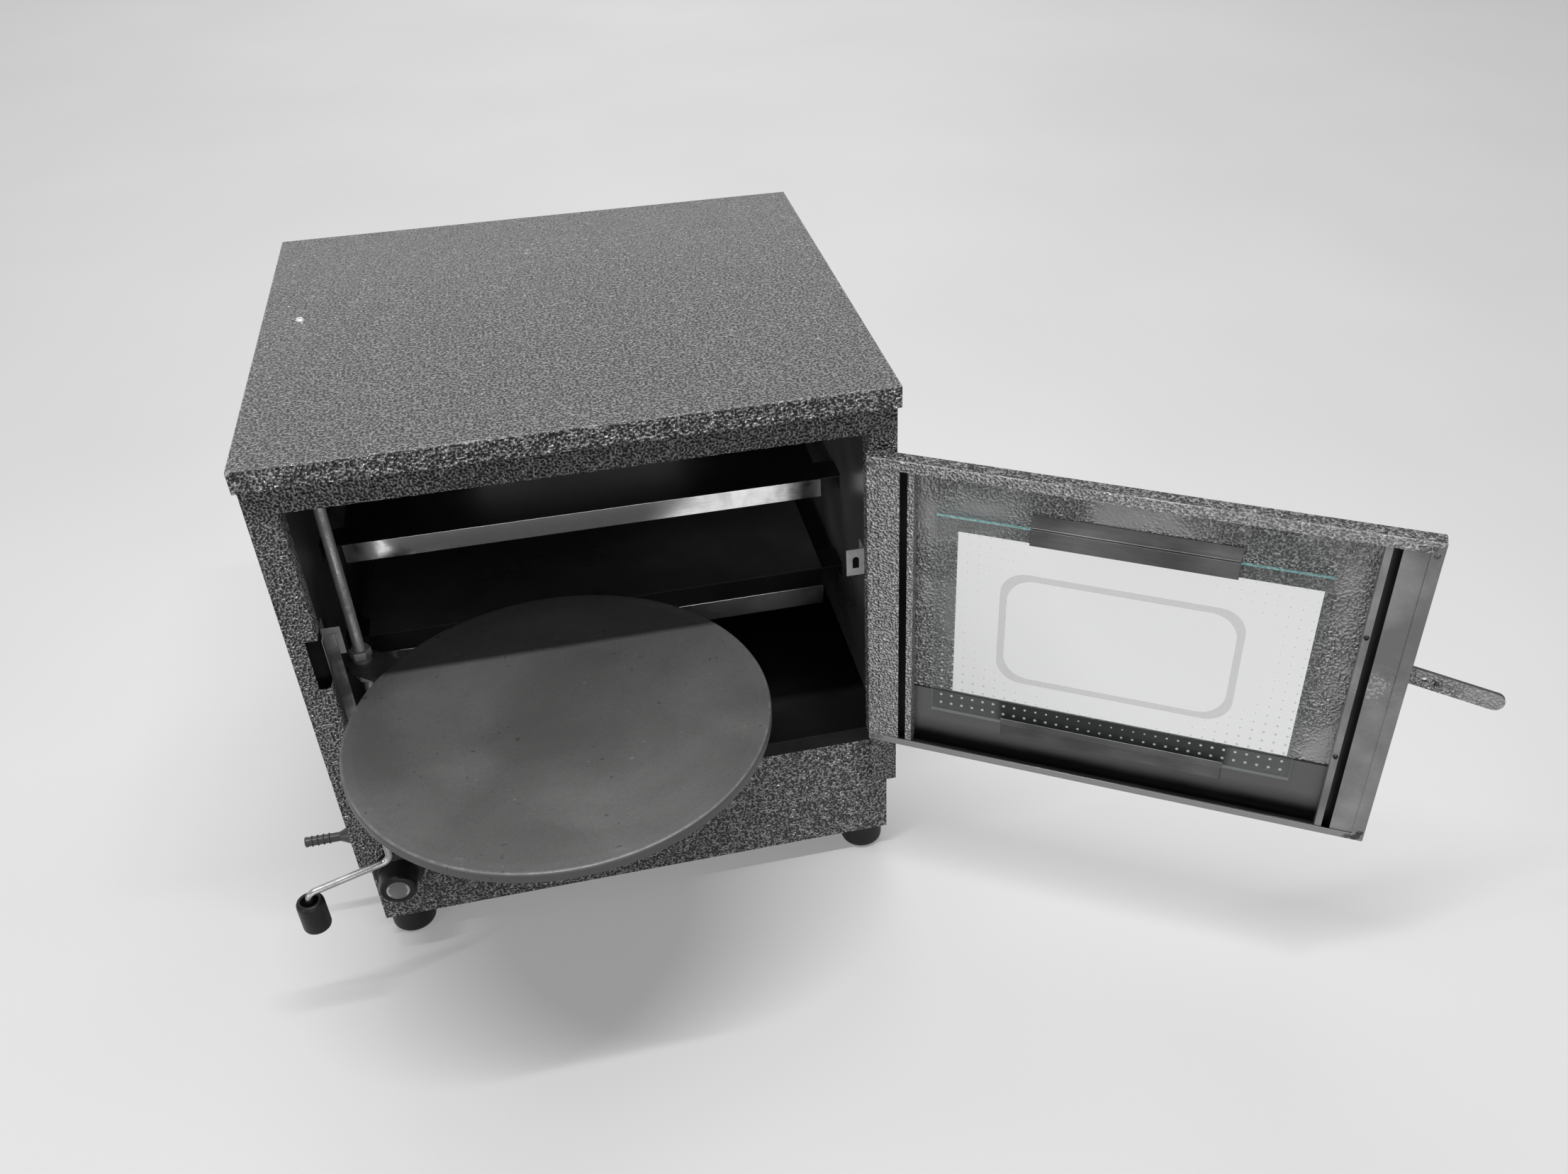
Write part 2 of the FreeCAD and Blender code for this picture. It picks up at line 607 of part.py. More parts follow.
subpart("baffle_brackets", shelf_brackets("baffle_bracket", "baffle_half", "baffle_top - t"))
subpart("shield_brackets", shelf_brackets("shield_bracket", "shield_half", "shield_top - t"))

# Bright tabs on the liner walls and the bare strip on the latch side of the opening
for side in ("left", "right"):
    tab_z = ("foot_height + tab_level", "foot_height + tab_level + tab_height")
    subpart("wall_tab_" + side, join(
        "wall_tab_folded_" + side,
        block("wall_tab_front_" + side, sides(side, "room_half - tab_width", "room_half"),
              ("-face + tab_setback", "-face + tab_setback + t"), tab_z),
        block("wall_tab_leg_" + side, sides(side, "room_half - t", "room_half"),
              ("-face + tab_setback", "-face + tab_setback + tab_width"), tab_z)))
strip_z = ("apron_top", "door_foot + jamb_strip_rise")
subpart("jamb_strip", join(
    "jamb_strip_folded",
    block("jamb_strip_front", ("-opening_half", "-opening_half + jamb_strip_width"),
          ("jamb_y - 2 * t", "jamb_y - t"), strip_z),
    block("jamb_strip_leg", ("-opening_half", "-opening_half + t"),
          ("jamb_y - jamb_strip_width", "jamb_y - t"), strip_z)))

# Screws that show: one on the lid and three down each side of the back panel
back_screws = [bar("back_screw_%s_%d" % (side, n), "Y", "screw_head", "face", "face + screw_rise",
                   ("%s * (half - rear_flange / 2 - t)" % sign,
                    "panel_low + (lid_under - panel_low) * %d / 6" % (2 * n - 1)))
               for side, sign in (("left", "-1"), ("right", "1")) for n in (1, 2, 3)]
subpart("back_screws", group("back_screw_set", *back_screws))
subpart("lid_screw", bar("lid_screw_head", "Z", "screw_head", "lid_under + t",
                         "lid_under + t + screw_rise",
                         ("-lid_width / 2 + lid_screw_inset", "lid_depth / 2 - lid_screw_back")))

# Rubber feet
for side, sx in (("left", "-1"), ("right", "1")):
    for end, sy in (("front", "-1"), ("back", "1")):
        name = "foot_%s_%s" % (end, side)
        foot = turned(name, "XZ_Plane",
                      [("0", "0"), ("foot_diameter / 2", "0"), ("foot_diameter / 2", "foot_height"),
                                         ("0", "foot_height")])
        rounded_edge(foot, name + "_rounding", "foot_rounding",
                     lambda edge: edge.BoundBox.ZMax < number("foot_rounding"))
        put(foot, "%s * (base_half - foot_inset)" % sx, "%s * (face - foot_inset - t)" % sy, "0")
        subpart(name, foot)

# Swing post: a threaded rod between a floor flange and a wall bracket, with a nut each side of the arm
post_at = ("post_x", "post_y")
post_hole = "post_diameter + 2 * running_clearance"
subpart("swing_post", bar("post_rod", "Z", "post_diameter", "floor_top", "post_top", post_at))
subpart("post_flange", less(
    "post_flange_cut", bar("post_flange_disc", "Z", "post_flange_diameter", "floor_top",
                           "floor_top + post_flange_height", post_at),
    bar("post_flange_hole", "Z", post_hole, "floor_top - t", "floor_top + 2 * post_flange_height",
        post_at)))
bracket_z = ("post_top - post_bracket_plate - nut_height", "post_top - nut_height")
subpart("post_bracket", less(
    "post_bracket_cut",
    join("post_bracket_folded",
         block("post_bracket_plate_sheet", ("-room_half", "post_x + post_flange_diameter / 2"),
               ("post_y - post_flange_diameter / 2", "post_y + post_flange_diameter / 2"), bracket_z),
         block("post_bracket_leg", ("-room_half", "-room_half + post_bracket_plate"),
               ("post_y - post_flange_diameter / 2", "post_y + post_flange_diameter / 2"),
               ("post_top - post_bracket_plate - nut_height - post_flange_diameter",
                "post_top - nut_height"))),
    bar("post_bracket_hole", "Z", post_hole, "post_top - 3 * nut_height", "post_top", post_at)))
nut_lows = (("lower", "bush_low - face_clearance - nut_height"), ("upper", "bush_top + face_clearance"),
            ("top", "post_top - nut_height"))
subpart("post_nuts", group("post_nut_set", *[
    less("post_nut_" + spot, nut("post_nut_hex_" + spot, low, post_at),
         bar("post_nut_hole_" + spot, "Z", post_hole, low + " - t", low + " + nut_height + t", post_at))
    for spot, low in nut_lows]))

# Swing arm: a flat bar with round ends, bushed on the post and carrying the plate's pin
arm_body = join(
    "arm_bar",
    block("arm_flat", ("0", "arm_length"), ("-arm_width / 2", "arm_width / 2"), ("arm_low", "arm_top")),
    bar("arm_post_end", "Z", "arm_width", "arm_low", "arm_top", ("0", "0")),
    bar("arm_plate_end", "Z", "arm_width", "arm_low", "arm_top", ("arm_length", "0")))
arm = less(
    "arm_cut", arm_body,
    bar("arm_bush_hole", "Z", "bush_diameter + 2 * running_clearance", "arm_low - t", "arm_top + t",
        ("0", "0")),
    bar("arm_pin_hole", "Z", "plate_pin_diameter + 2 * running_clearance", "arm_low - t", "arm_top + t",
        ("arm_length", "0")))
subpart("swing_arm", on_arm(arm))
subpart("arm_bush", on_arm(less(
    "arm_bush_cut", bar("arm_bush_tube", "Z", "bush_diameter", "bush_low", "bush_top", ("0", "0")),
    bar("arm_bush_bore", "Z", post_hole, "bush_low - t", "bush_top + t", ("0", "0")))))
subpart("plate_pin", on_arm(join(
    "plate_pin_turned",
    bar("plate_pin_shank", "Z", "plate_pin_diameter", "arm_low", "hub_low + plate_pin_depth",
        ("arm_length", "0")),
    bar("plate_pin_head_disc", "Z", "plate_pin_head", "arm_low - plate_pin_head_height", "arm_low",
        ("arm_length", "0")))))

# Baking plate: a thick disc with a blind hub that turns on the pin
plate = turned("baking_plate_disc", "XZ_Plane", [
    ("0", "hub_low + plate_pin_depth + face_clearance"),
    ("plate_pin_diameter / 2 + running_clearance", "hub_low + plate_pin_depth + face_clearance"),
    ("plate_pin_diameter / 2 + running_clearance", "hub_low"),
    ("plate_hub_diameter / 2", "hub_low"),
    ("plate_hub_diameter / 2", "plate_low"),
    ("plate_radius", "plate_low"),
    ("plate_radius", "plate_top - plate_edge"),
    ("plate_radius - plate_edge", "plate_top"),
    ("0", "plate_top")])
put(plate, "post_x + arm_length * cos(arm_rest_angle)", "post_y + arm_length * sin(arm_rest_angle)", "0")
subpart("baking_plate", plate)


# Handle: one bent rod under the arm, dropping in front of the opening to a hanging grip
def bent_path(points, radius):
    """Straight runs through the points, joined by tangent arcs."""
    edges = []
    start = points[0]
    for before, corner, after in zip(points, points[1:], points[2:]):
        into = (before - corner).normalize()
        away = (after - corner).normalize()
        setback = radius / math.tan(into.getAngle(away) / 2)
        first = corner + into * setback
        last = corner + away * setback
        middle_way = (into + away).normalize()
        rise = math.hypot(radius, setback) - radius
        edges.append(Part.LineSegment(start, first).toShape())
        edges.append(Part.Arc(first, corner + middle_way * rise, last).toShape())
        start = last
    edges.append(Part.LineSegment(start, points[-1]).toShape())
    return Part.Wire(edges)


rod_z = number("arm_low - handle_rod_diameter / 2")
run_z = number("handle_low")
drop = FreeCAD.Vector(number("handle_along"), -number("handle_across"), 0)
grip_at = drop + FreeCAD.Vector(-number("handle_reach_back"), -number("handle_reach_out"), 0)
up = FreeCAD.Vector(0, 0, 1)
handle_points = [
    FreeCAD.Vector(number("handle_along"), number("arm_width") / 2, rod_z),
    drop + up * rod_z,
    drop + up * run_z,
    grip_at + up * run_z,
    grip_at + up * number("grip_top - grip_length * 3 / 4"),
]
handle_path = bent_path(handle_points, number("handle_bend"))
rod_end = Part.Wire(Part.Circle(handle_points[0], FreeCAD.Vector(0, 1, 0),
                                number("handle_rod_diameter / 2")).toShape())
handle_rod = doc.addObject("Part::Feature", "handle_rod_bent")
handle_rod.Shape = handle_path.makePipeShell([rod_end], True, False)
subpart("handle_rod", on_arm(handle_rod))
grip_low = "grip_top - grip_length"
grip_across = ("handle_along - handle_reach_back", "-handle_across - handle_reach_out")
subpart("handle_grip", on_arm(less(
    "grip_cut",
    bar("grip_barrel", "Z", "grip_diameter", grip_low, "grip_top", grip_across),
    bar("grip_hole", "Z", "handle_rod_diameter + 2 * running_clearance",
        "grip_top - grip_length * 3 / 4", "handle_low", grip_across))))

# Door pan: the outer skin with its window, four folded edges and their inner lips
door_x = ("door_hinge_gap", "door_end")
door_z = ("door_foot", "door_head")
pan_y = ("door_in", "door_out")
lip_y = ("door_in", "door_in + t")
skin = less("door_skin_window", block("door_skin", door_x, ("door_out - t", "door_out"), door_z),
            block("door_window", ("window_a", "window_b"), ("door_out - 2 * t", "door_out + t"),
                  ("window_low", "window_top")))
door_pan = join(
    "door_pan_folded", skin,
    block("door_edge_hinge", ("door_hinge_gap", "door_hinge_gap + t"), pan_y, door_z),
    block("door_edge_free", ("door_end - t", "door_end"), pan_y, door_z),
    block("door_edge_foot", door_x, pan_y, ("door_foot", "door_foot + t")),
    block("door_edge_head", door_x, pan_y, ("door_head - t", "door_head")),
    block("door_lip_hinge", ("door_hinge_gap", "door_hinge_gap + door_lip"), lip_y, door_z),
    block("door_lip_free", ("door_end - door_lip", "door_end"), lip_y, door_z),
    block("door_lip_foot", door_x, lip_y, ("door_foot", "door_foot + door_foot_lip")),
    block("door_lip_head", door_x, lip_y, ("door_head - door_lip", "door_head")))
subpart("door_pan", on_door(door_pan))


# Door stiles: lipped channels inside the pan's two upright edges, each with its slot towards the oven
def channel(name, edge, inward):
    """A lipped channel whose places are counted from a door edge, inward being +1 or -1 along the door."""
    def run(low, high):
        ends = ["%s + %d * (%s)" % (edge, inward, text) for text in (low, high)]
        return tuple(ends if inward > 0 else reversed(ends))
    height = ("door_foot + t", "door_head - t")
    return join(
        name,
        block(name + "_back", run("t", "stile_channel_width"), ("door_out - 2 * t", "door_out - t"),
              height),
        block(name + "_edge", run("t", "2 * t"), ("channel_in", "door_out - t"), height),
        block(name + "_leg", run("stile_channel_width - t", "stile_channel_width"),
              ("channel_in", "door_out - t"), height),
        block(name + "_lip", run("t", "channel_slot_start"), ("channel_in", "channel_in + t"), height),
        block(name + "_strip", run("channel_slot_start + channel_slot", "stile_channel_width"),
              ("channel_in", "channel_in + t"), height))


subpart("door_stile_hinge", on_door(channel("hinge_channel", "door_hinge_gap", 1)))
subpart("door_stile_free", on_door(channel("free_channel", "door_end", -1)))
subpart("door_lower_panel", on_door(group("lower_panel", block(
    "lower_panel_sheet", ("door_hinge_gap + stile_channel_width", "door_end - stile_channel_width"),
    ("door_out - 2 * t", "door_out - t"), ("door_foot + t", "window_low")))))

# Glass pane behind the window, held by a clip above and a rail below
subpart("door_glass", on_door(group("glass_pane", block(
    "glass_sheet", ("glass_a", "glass_b"), ("glass_in", "glass_out"), ("glass_low", "glass_top")))))
clip_x = ("glass_a + clip_inset", "glass_a + clip_inset + clip_width")
subpart("glass_clip", on_door(join(
    "clip_folded",
    block("clip_seat", clip_x, ("door_out - 2 * t", "door_out - t"),
          ("glass_top", "glass_top + t + clip_flange")),
    block("clip_step", clip_x, ("glass_in - t", "door_out - t"), ("glass_top", "glass_top + t")),
    block("clip_tongue", clip_x, ("glass_in - t", "glass_in"),
          ("glass_top - clip_lap", "glass_top + t")))))
rail_x = ("glass_a + rail_inset", "glass_a + rail_inset + rail_width")
subpart("glass_rail", on_door(join(
    "rail_folded",
    block("rail_seat", rail_x, ("glass_out - t", "glass_out"), ("glass_low - rail_flange", "glass_low")),
    block("rail_ledge", rail_x, ("glass_in - t", "glass_out"), ("glass_low - t", "glass_low")),
    block("rail_tongue", rail_x, ("glass_in - t", "glass_in"),
          ("glass_low - t", "glass_low + rail_lip")))))
subpart("door_screws", on_door(group("door_screw_set", *[
    bar("door_screw_" + spot, "Y", "screw_head", "channel_in - screw_rise", "channel_in",
        ("door_end - (channel_slot_start + channel_slot + stile_channel_width) / 2",
         "door_foot + " + height))
    for spot, height in (("low", "door_screw_low"), ("high", "door_screw_high"))])))

# Butt hinges: the cabinet's leaf carries the end knuckles, the door's leaf the middle one
knuckle = "2 * hinge_radius"
hinge_starts = (("low", "door_foot + hinge_end_margin"),
                ("high", "door_head - hinge_end_margin - hinge_length"))
cabinet_leaves = []
door_leaves = []
hinge_pins = []
pin_hole = "hinge_pin_diameter + 2 * running_clearance"
for spot, start in hinge_starts:
    third = "hinge_length / 3"
    bottom = (start, "%s + %s" % (start, third))
    middle = ("%s + %s + face_clearance" % (start, third),
              "%s + 2 * %s - face_clearance" % (start, third))
    top = ("%s + 2 * %s" % (start, third), "%s + hinge_length" % start)
    cabinet_leaf = join(
        "cabinet_leaf_solid_" + spot,
        bar("cabinet_knuckle_bottom_" + spot, "Z", knuckle, bottom[0], bottom[1], ("hinge_x", "hinge_y")),
        bar("cabinet_knuckle_top_" + spot, "Z", knuckle, top[0], top[1], ("hinge_x", "hinge_y")),
        block("cabinet_leaf_bottom_" + spot, ("hinge_x", "hinge_x + hinge_leaf_width"),
              ("-face - t", "-face"), bottom),
        block("cabinet_leaf_top_" + spot, ("hinge_x", "hinge_x + hinge_leaf_width"),
              ("-face - t", "-face"), top),
        block("cabinet_leaf_spine_" + spot, ("hinge_x + 2 * hinge_radius", "hinge_x + hinge_leaf_width"),
              ("-face - t", "-face"), (bottom[0], top[1])))
    cabinet_leaves.append(less("cabinet_leaf_" + spot, cabinet_leaf, bar(
        "cabinet_leaf_hole_" + spot, "Z", pin_hole, bottom[0] + " - t", top[1] + " + t",
        ("hinge_x", "hinge_y"))))
    door_leaf = join(
        "door_leaf_solid_" + spot,
        bar("door_knuckle_" + spot, "Z", knuckle, middle[0], middle[1], ("0", "0")),
        block("door_leaf_root_" + spot, ("0", "hinge_leaf_width"), ("door_out", "door_out + t"), middle),
        block("door_leaf_spread_" + spot, ("2 * hinge_radius", "hinge_leaf_width"),
              ("door_out", "door_out + t"),
              (bottom[0], top[1])))
    door_leaves.append(less("door_leaf_" + spot, door_leaf, bar(
        "door_leaf_hole_" + spot, "Z", pin_hole, bottom[0] + " - t", top[1] + " + t", ("0", "0"))))
    hinge_pins.append(bar("hinge_pin_" + spot, "Z", "hinge_pin_diameter", bottom[0] + " - t",
                          top[1] + " + t",
                          ("hinge_x", "hinge_y")))
subpart("hinge_leaves_cabinet", group("cabinet_leaf_set", *cabinet_leaves))
subpart("hinge_leaves_door", on_door(group("door_leaf_set", *door_leaves)))
subpart("hinge_pins", group("hinge_pin_set", *hinge_pins))

# Latch: a flat lever on the door's face whose pin drops into the notch of the left stile
lever = less(
    "lever_cut",
    join("lever_bar",
         block("lever_flat", ("-latch_tail", "latch_inset + latch_reach - latch_width / 2"),
               ("0", "latch_thickness"),
               ("-latch_width / 2", "latch_width / 2")),
         bar("lever_tip", "Y", "latch_width", "0", "latch_thickness",
             ("latch_inset + latch_reach - latch_width / 2", "0")),
         bar("lever_catch", "Y", "latch_pin_diameter", "-latch_pin_length", "latch_thickness",
             ("latch_catch", "0"))),
    bar("lever_pivot_hole", "Y", "latch_pivot_diameter + 2 * running_clearance", "-t",
        "latch_thickness + t", ("0", "0")),
    bar("lever_hole", "Y", "latch_hole", "-t", "latch_thickness + t",
        ("latch_inset + latch_hole_past", "0")))
door_turn = FreeCAD.Placement(FreeCAD.Vector(number("hinge_x"), number("hinge_y"), 0),
                              FreeCAD.Rotation(up, number("door_open_angle - 180")))
lever_turn = FreeCAD.Placement(FreeCAD.Vector(number("latch_x"), number("latch_back"), number("latch_z")),
                               FreeCAD.Rotation(FreeCAD.Vector(0, 1, 0), number("latch_droop_angle")))
lever.Placement = door_turn.multiply(lever_turn)
subpart("latch_lever", lever)
pivot_end = "latch_back + latch_thickness + face_clearance"
subpart("latch_pivot", on_door(join(
    "latch_pivot_turned",
    bar("latch_pivot_shank", "Y", "latch_pivot_diameter", "door_out", pivot_end, ("latch_x", "latch_z")),
    bar("latch_pivot_cap", "Y", "latch_pivot_head", pivot_end, pivot_end + " + latch_pivot_head_height",
        ("latch_x", "latch_z")))))

# Ring burner with its mixing tube and legs, on two bars across the base box
burner_bar_top = "burner_z - burner_tube_diameter / 2 - burner_leg_length"
ring = doc.addObject("Part::Torus", "burner_ring")
bind(ring, "Radius1", "burner_ring_radius")
bind(ring, "Radius2", "burner_tube_diameter / 2")
put(ring, "0", "burner_y", "burner_z")
leg_x = "sqrt(burner_ring_radius ^ 2 - (burner_bar_spacing / 2) ^ 2)"
legs = [bar("burner_leg_%d" % n, "Z", "burner_leg_diameter", burner_bar_top, "burner_z",
            ("%d * %s" % (sx, leg_x), "burner_y + %d * burner_bar_spacing / 2" % sy))
        for n, (sx, sy) in enumerate(((-1, -1), (1, -1), (-1, 1), (1, 1)))]
mixing_tube = bar("mixing_tube", "X", "mixing_tube_diameter", "jet_tip_x + mixing_tube_gap",
                  "-burner_ring_radius",
                  ("burner_y", "burner_z"))
subpart("ring_burner", join("burner_casting", ring, mixing_tube, *legs))
burner_bars = []
for spot, sy in (("front", "-1"), ("rear", "1")):
    middle_y = "burner_y + %s * burner_bar_spacing / 2" % sy
    burner_bars.append(block(
        "burner_bar_" + spot, ("-base_half + t", "base_half - t"),
        (middle_y + " - burner_bar_width / 2", middle_y + " + burner_bar_width / 2"),
        (burner_bar_top + " - burner_bar_thickness", burner_bar_top)))
subpart("burner_bars", group("burner_bar_set", *burner_bars))

# Gas train: hose spigot, valve block, pipe and jet
valve = less(
    "valve_cut",
    join("valve_solid",
         block("valve_block", ("valve_left", "valve_left + valve_width"),
               ("valve_front", "valve_front + valve_depth"),
               ("valve_z - valve_foot", "valve_z + valve_top")),
         bar("valve_neck", "Y", "valve_neck_diameter", "-face + 2 * t", "valve_front",
             ("valve_x", "valve_z"))),
    bar("valve_bore", "Y", "stem_diameter + 2 * running_clearance", "-face",
        "-face + 2 * t + stem_depth + face_clearance",
        ("valve_x", "valve_z")))
subpart("gas_valve", valve)
subpart("gas_inlet", less(
    "gas_inlet_bored",
    join("gas_inlet_turned",
         bar("gas_inlet_tube", "X", "inlet_diameter", "-half - inlet_reach", "valve_left",
             ("inlet_y", "inlet_z")),
         bar("gas_inlet_collar", "X", "inlet_collar", "-half - inlet_collar_width", "-half",
             ("inlet_y", "inlet_z"))),
    bar("gas_inlet_hole", "X", "inlet_bore", "-half - inlet_reach - t", "valve_left + t",
        ("inlet_y", "inlet_z"))))
pipe_bend_arc = doc.addObject("Part::Torus", "pipe_bend_arc")
pipe_bend_arc.Angle3 = 90
bind(pipe_bend_arc, "Radius1", "pipe_bend")
bind(pipe_bend_arc, "Radius2", "pipe_diameter / 2")
pipe_bend_arc.Placement = FreeCAD.Placement(FreeCAD.Vector(), FreeCAD.Rotation(up, 90))
put(pipe_bend_arc, "valve_x + pipe_bend", "burner_y - pipe_bend", "burner_z")
subpart("gas_pipe", join(
    "gas_pipe_bent", pipe_bend_arc,
    bar("pipe_run", "Y", "pipe_diameter", "valve_front + valve_depth", "burner_y - pipe_bend",
        ("valve_x", "burner_z")),
    bar("pipe_end", "X", "pipe_diameter", "valve_x + pipe_bend", "pipe_end_x", ("burner_y", "burner_z"))))
subpart("gas_jet", bar("gas_jet_turned", "X", "jet_diameter", "pipe_end_x", "jet_tip_x",
                       ("burner_y", "burner_z")))

# Valve stem and its knob, which has a pointer groove across the face
subpart("valve_stem", bar("stem_rod", "Y", "stem_diameter", "knob_back - knob_bore_depth",
                          "-face + 2 * t + stem_depth",
                          ("valve_x", "valve_z")))
knob_solid = turned("knob_turned", "XY_Plane", [
    ("0", "knob_front + knob_length - knob_bore_depth - face_clearance"),
    ("0", "knob_front"),
    ("knob_face_diameter / 2", "knob_front"),
    ("knob_diameter / 2", "knob_back - knob_skirt_height"),
    ("knob_skirt_diameter / 2", "knob_back - knob_skirt_height"),
    ("knob_skirt_diameter / 2", "knob_back"),
    ("stem_diameter / 2 + running_clearance", "knob_back"),
    ("stem_diameter / 2 + running_clearance", "knob_back - knob_bore_depth - face_clearance")])
put(knob_solid, "valve_x", "0", "valve_z")
knob_mark = block("knob_mark", ("valve_x - knob_mark_width / 2", "valve_x + knob_mark_width / 2"),
                  ("knob_front - t", "knob_front + knob_mark_depth"),
                  ("valve_z", "valve_z + knob_diameter"))
subpart("gas_knob", less("knob_marked", knob_solid, knob_mark))

doc.recompute()
for item in doc.Objects:
    if {"Invalid", "Error"} & set(item.State):
        raise RuntimeError("%s did not compute" % item.Name)
os.makedirs("parts", exist_ok=True)
for item in SUBPARTS:
    shape = item.Shape
    if shape.isNull() or not shape.isValid() or not shape.Solids:
        raise RuntimeError("%s has no valid solid" % item.Label)
for item in SUBPARTS:
    item.Shape.exportStep("parts/%s.step" % item.Label)
print(len(SUBPARTS), "sub-parts")
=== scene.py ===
# %% [markdown]
# # A gas tandoor oven, dressed
# The CAD model arrives as a fixed frame: every sheet, pin and pipe is already in its place and at its size.
# This script gives it finishes, softens the folds of the sheet metal and adds the small things that a
# drawing leaves out, such as threads, screw slots and weld beads. Everything is in metres.

# %% Load the frame
import json
import math

import bmesh
import bpy
from mathutils import Matrix, Vector


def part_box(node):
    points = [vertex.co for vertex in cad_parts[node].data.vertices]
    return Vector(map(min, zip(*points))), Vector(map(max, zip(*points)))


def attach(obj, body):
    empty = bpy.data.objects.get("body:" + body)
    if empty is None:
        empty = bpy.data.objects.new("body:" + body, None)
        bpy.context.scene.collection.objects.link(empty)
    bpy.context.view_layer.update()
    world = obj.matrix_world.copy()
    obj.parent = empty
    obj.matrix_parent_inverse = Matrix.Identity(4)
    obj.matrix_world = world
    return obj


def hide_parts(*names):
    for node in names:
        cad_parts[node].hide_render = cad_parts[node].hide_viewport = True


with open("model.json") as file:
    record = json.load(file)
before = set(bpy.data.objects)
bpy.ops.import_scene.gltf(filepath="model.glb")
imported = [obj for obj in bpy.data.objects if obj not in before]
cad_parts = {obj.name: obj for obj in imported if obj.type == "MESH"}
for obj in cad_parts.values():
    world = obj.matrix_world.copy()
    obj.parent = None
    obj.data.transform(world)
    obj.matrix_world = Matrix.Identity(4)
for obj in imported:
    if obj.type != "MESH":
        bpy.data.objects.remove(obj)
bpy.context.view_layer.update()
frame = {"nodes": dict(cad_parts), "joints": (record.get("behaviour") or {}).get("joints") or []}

JOINTS = {joint["name"]: joint for joint in frame["joints"]}

# %% [markdown]
# ## Shader maths
# A finish is a small formula: noise, a threshold, a mix. Wiring each Math node by hand hides the formula,
# so one class wraps a socket and lets Python's own operators add the nodes. Every other node comes from
# its one method, which sets the options first and the sockets after.

# %% A socket that can be calculated with
class Field:
    """A socket in a shader tree. Arithmetic adds Math nodes, and node() adds any other node."""

    def __init__(self, tree, socket=None):
        self.tree = tree
        self.socket = socket

    def node(self, kind, settings=None, sockets=None, output=0):
        made = self.tree.nodes.new("ShaderNode" + kind)
        for key, value in (settings or {}).items():
            if key == "stops":
                stops = made.color_ramp.elements
                stops.remove(stops[1])
                stops[0].position, stops[0].color = value[0]
                for position, colour in value[1:]:
                    stops.new(position).color = colour
            else:
                setattr(made, key, value)
        for key, value in (sockets or {}).items():
            if isinstance(value, Field):
                self.tree.links.new(value.socket, made.inputs[key])
            else:
                made.inputs[key].default_value = value
        return Field(self.tree, made.outputs[output] if made.outputs else None)

    def _math(self, operation, first, second):
        return self.node("Math", {"operation": operation}, {0: first, 1: second})

    def __add__(self, other):
        return self._math("ADD", self, other)

    def __radd__(self, other):
        return self._math("ADD", other, self)

    def __sub__(self, other):
        return self._math("SUBTRACT", self, other)

    def __rsub__(self, other):
        return self._math("SUBTRACT", other, self)

    def __mul__(self, other):
        return self._math("MULTIPLY", self, other)

    def __rmul__(self, other):
        return self._math("MULTIPLY", other, self)


print("shader maths ready")

# %% [markdown]
# ## Words that every finish uses
# Each finish reads Object coordinates. A finished piece sits unturned at the origin, so those are the
# oven's own metres, and a pattern has its real size on every piece. A grey is written once as a number.

# %% Finish helpers
def grey(level, warmth=0.0):
    """An opaque grey, a little warm or cool."""
    return (level * (1 + warmth), level, level * (1 - warmth), 1)


def new_finish(name):
    """An empty material and a Field that adds nodes to it."""
    material = bpy.data.materials.new(name)
    material.use_nodes = True
    material.node_tree.nodes.clear()
    return Field(material.node_tree), material


def own_metres(paint):
    """Object coordinates, which are the oven's own metres."""
    return paint.node("TexCoord", output="Object")


def stretched(paint, scale):
    """Object coordinates scaled along each axis, for grain that runs one way."""
    return paint.node("Mapping", None, {"Vector": own_metres(paint), "Scale": scale})


def coordinate(paint, place, axis):
    """The X, Y or Z of a place."""
    return paint.node("SeparateXYZ", None, {0: place}, output=axis)


def vector_maths(paint, operation, *values, output=0):
    """A Vector Math node. Its output is a vector, unless "Value" is asked for."""
    return paint.node("VectorMath", {"operation": operation}, dict(enumerate(values)), output)


def noise(paint, place, size, detail=2.0, roughness=0.5, distortion=0.0):
    """Noise whose lumps are about size metres across."""
    return paint.node("TexNoise", None, {
        "Vector": place, "Scale": 1 / size,
        "Detail": detail, "Roughness": roughness, "Distortion": distortion})


def ramp(paint, value, *stops):
    """A colour for each value, between stops of a position and a colour."""
    return paint.node("ValToRGB", {"stops": list(stops)}, {0: value})


def share(paint, value, low, high):
    """0 below low, 1 above high, and straight between them."""
    return paint.node("MapRange", None, {0: value, 1: low, 2: high, 3: 0.0, 4: 1.0})


def mixed(paint, mask, first, second):
    """The first colour where the mask is 0, and the second where it is 1."""
    return paint.node("Mix", {"data_type": "RGBA"}, {0: mask, 6: first, 7: second}, output=2)


def bumped(paint, height, strength, depth):
    """A normal that shows height as relief, depth metres for each unit of it."""
    return paint.node("Bump", None, {"Height": height, "Strength": strength, "Distance": depth})


def coat(paint, **sockets):
    """Close the finish with a Principled shader whose socket names are written with underscores."""
    named = {key.replace("_", " "): value for key, value in sockets.items()}
    shader = paint.node("BsdfPrincipled", None, named)
    paint.node("OutputMaterial", None, {"Surface": shader})


print("finish helpers ready")

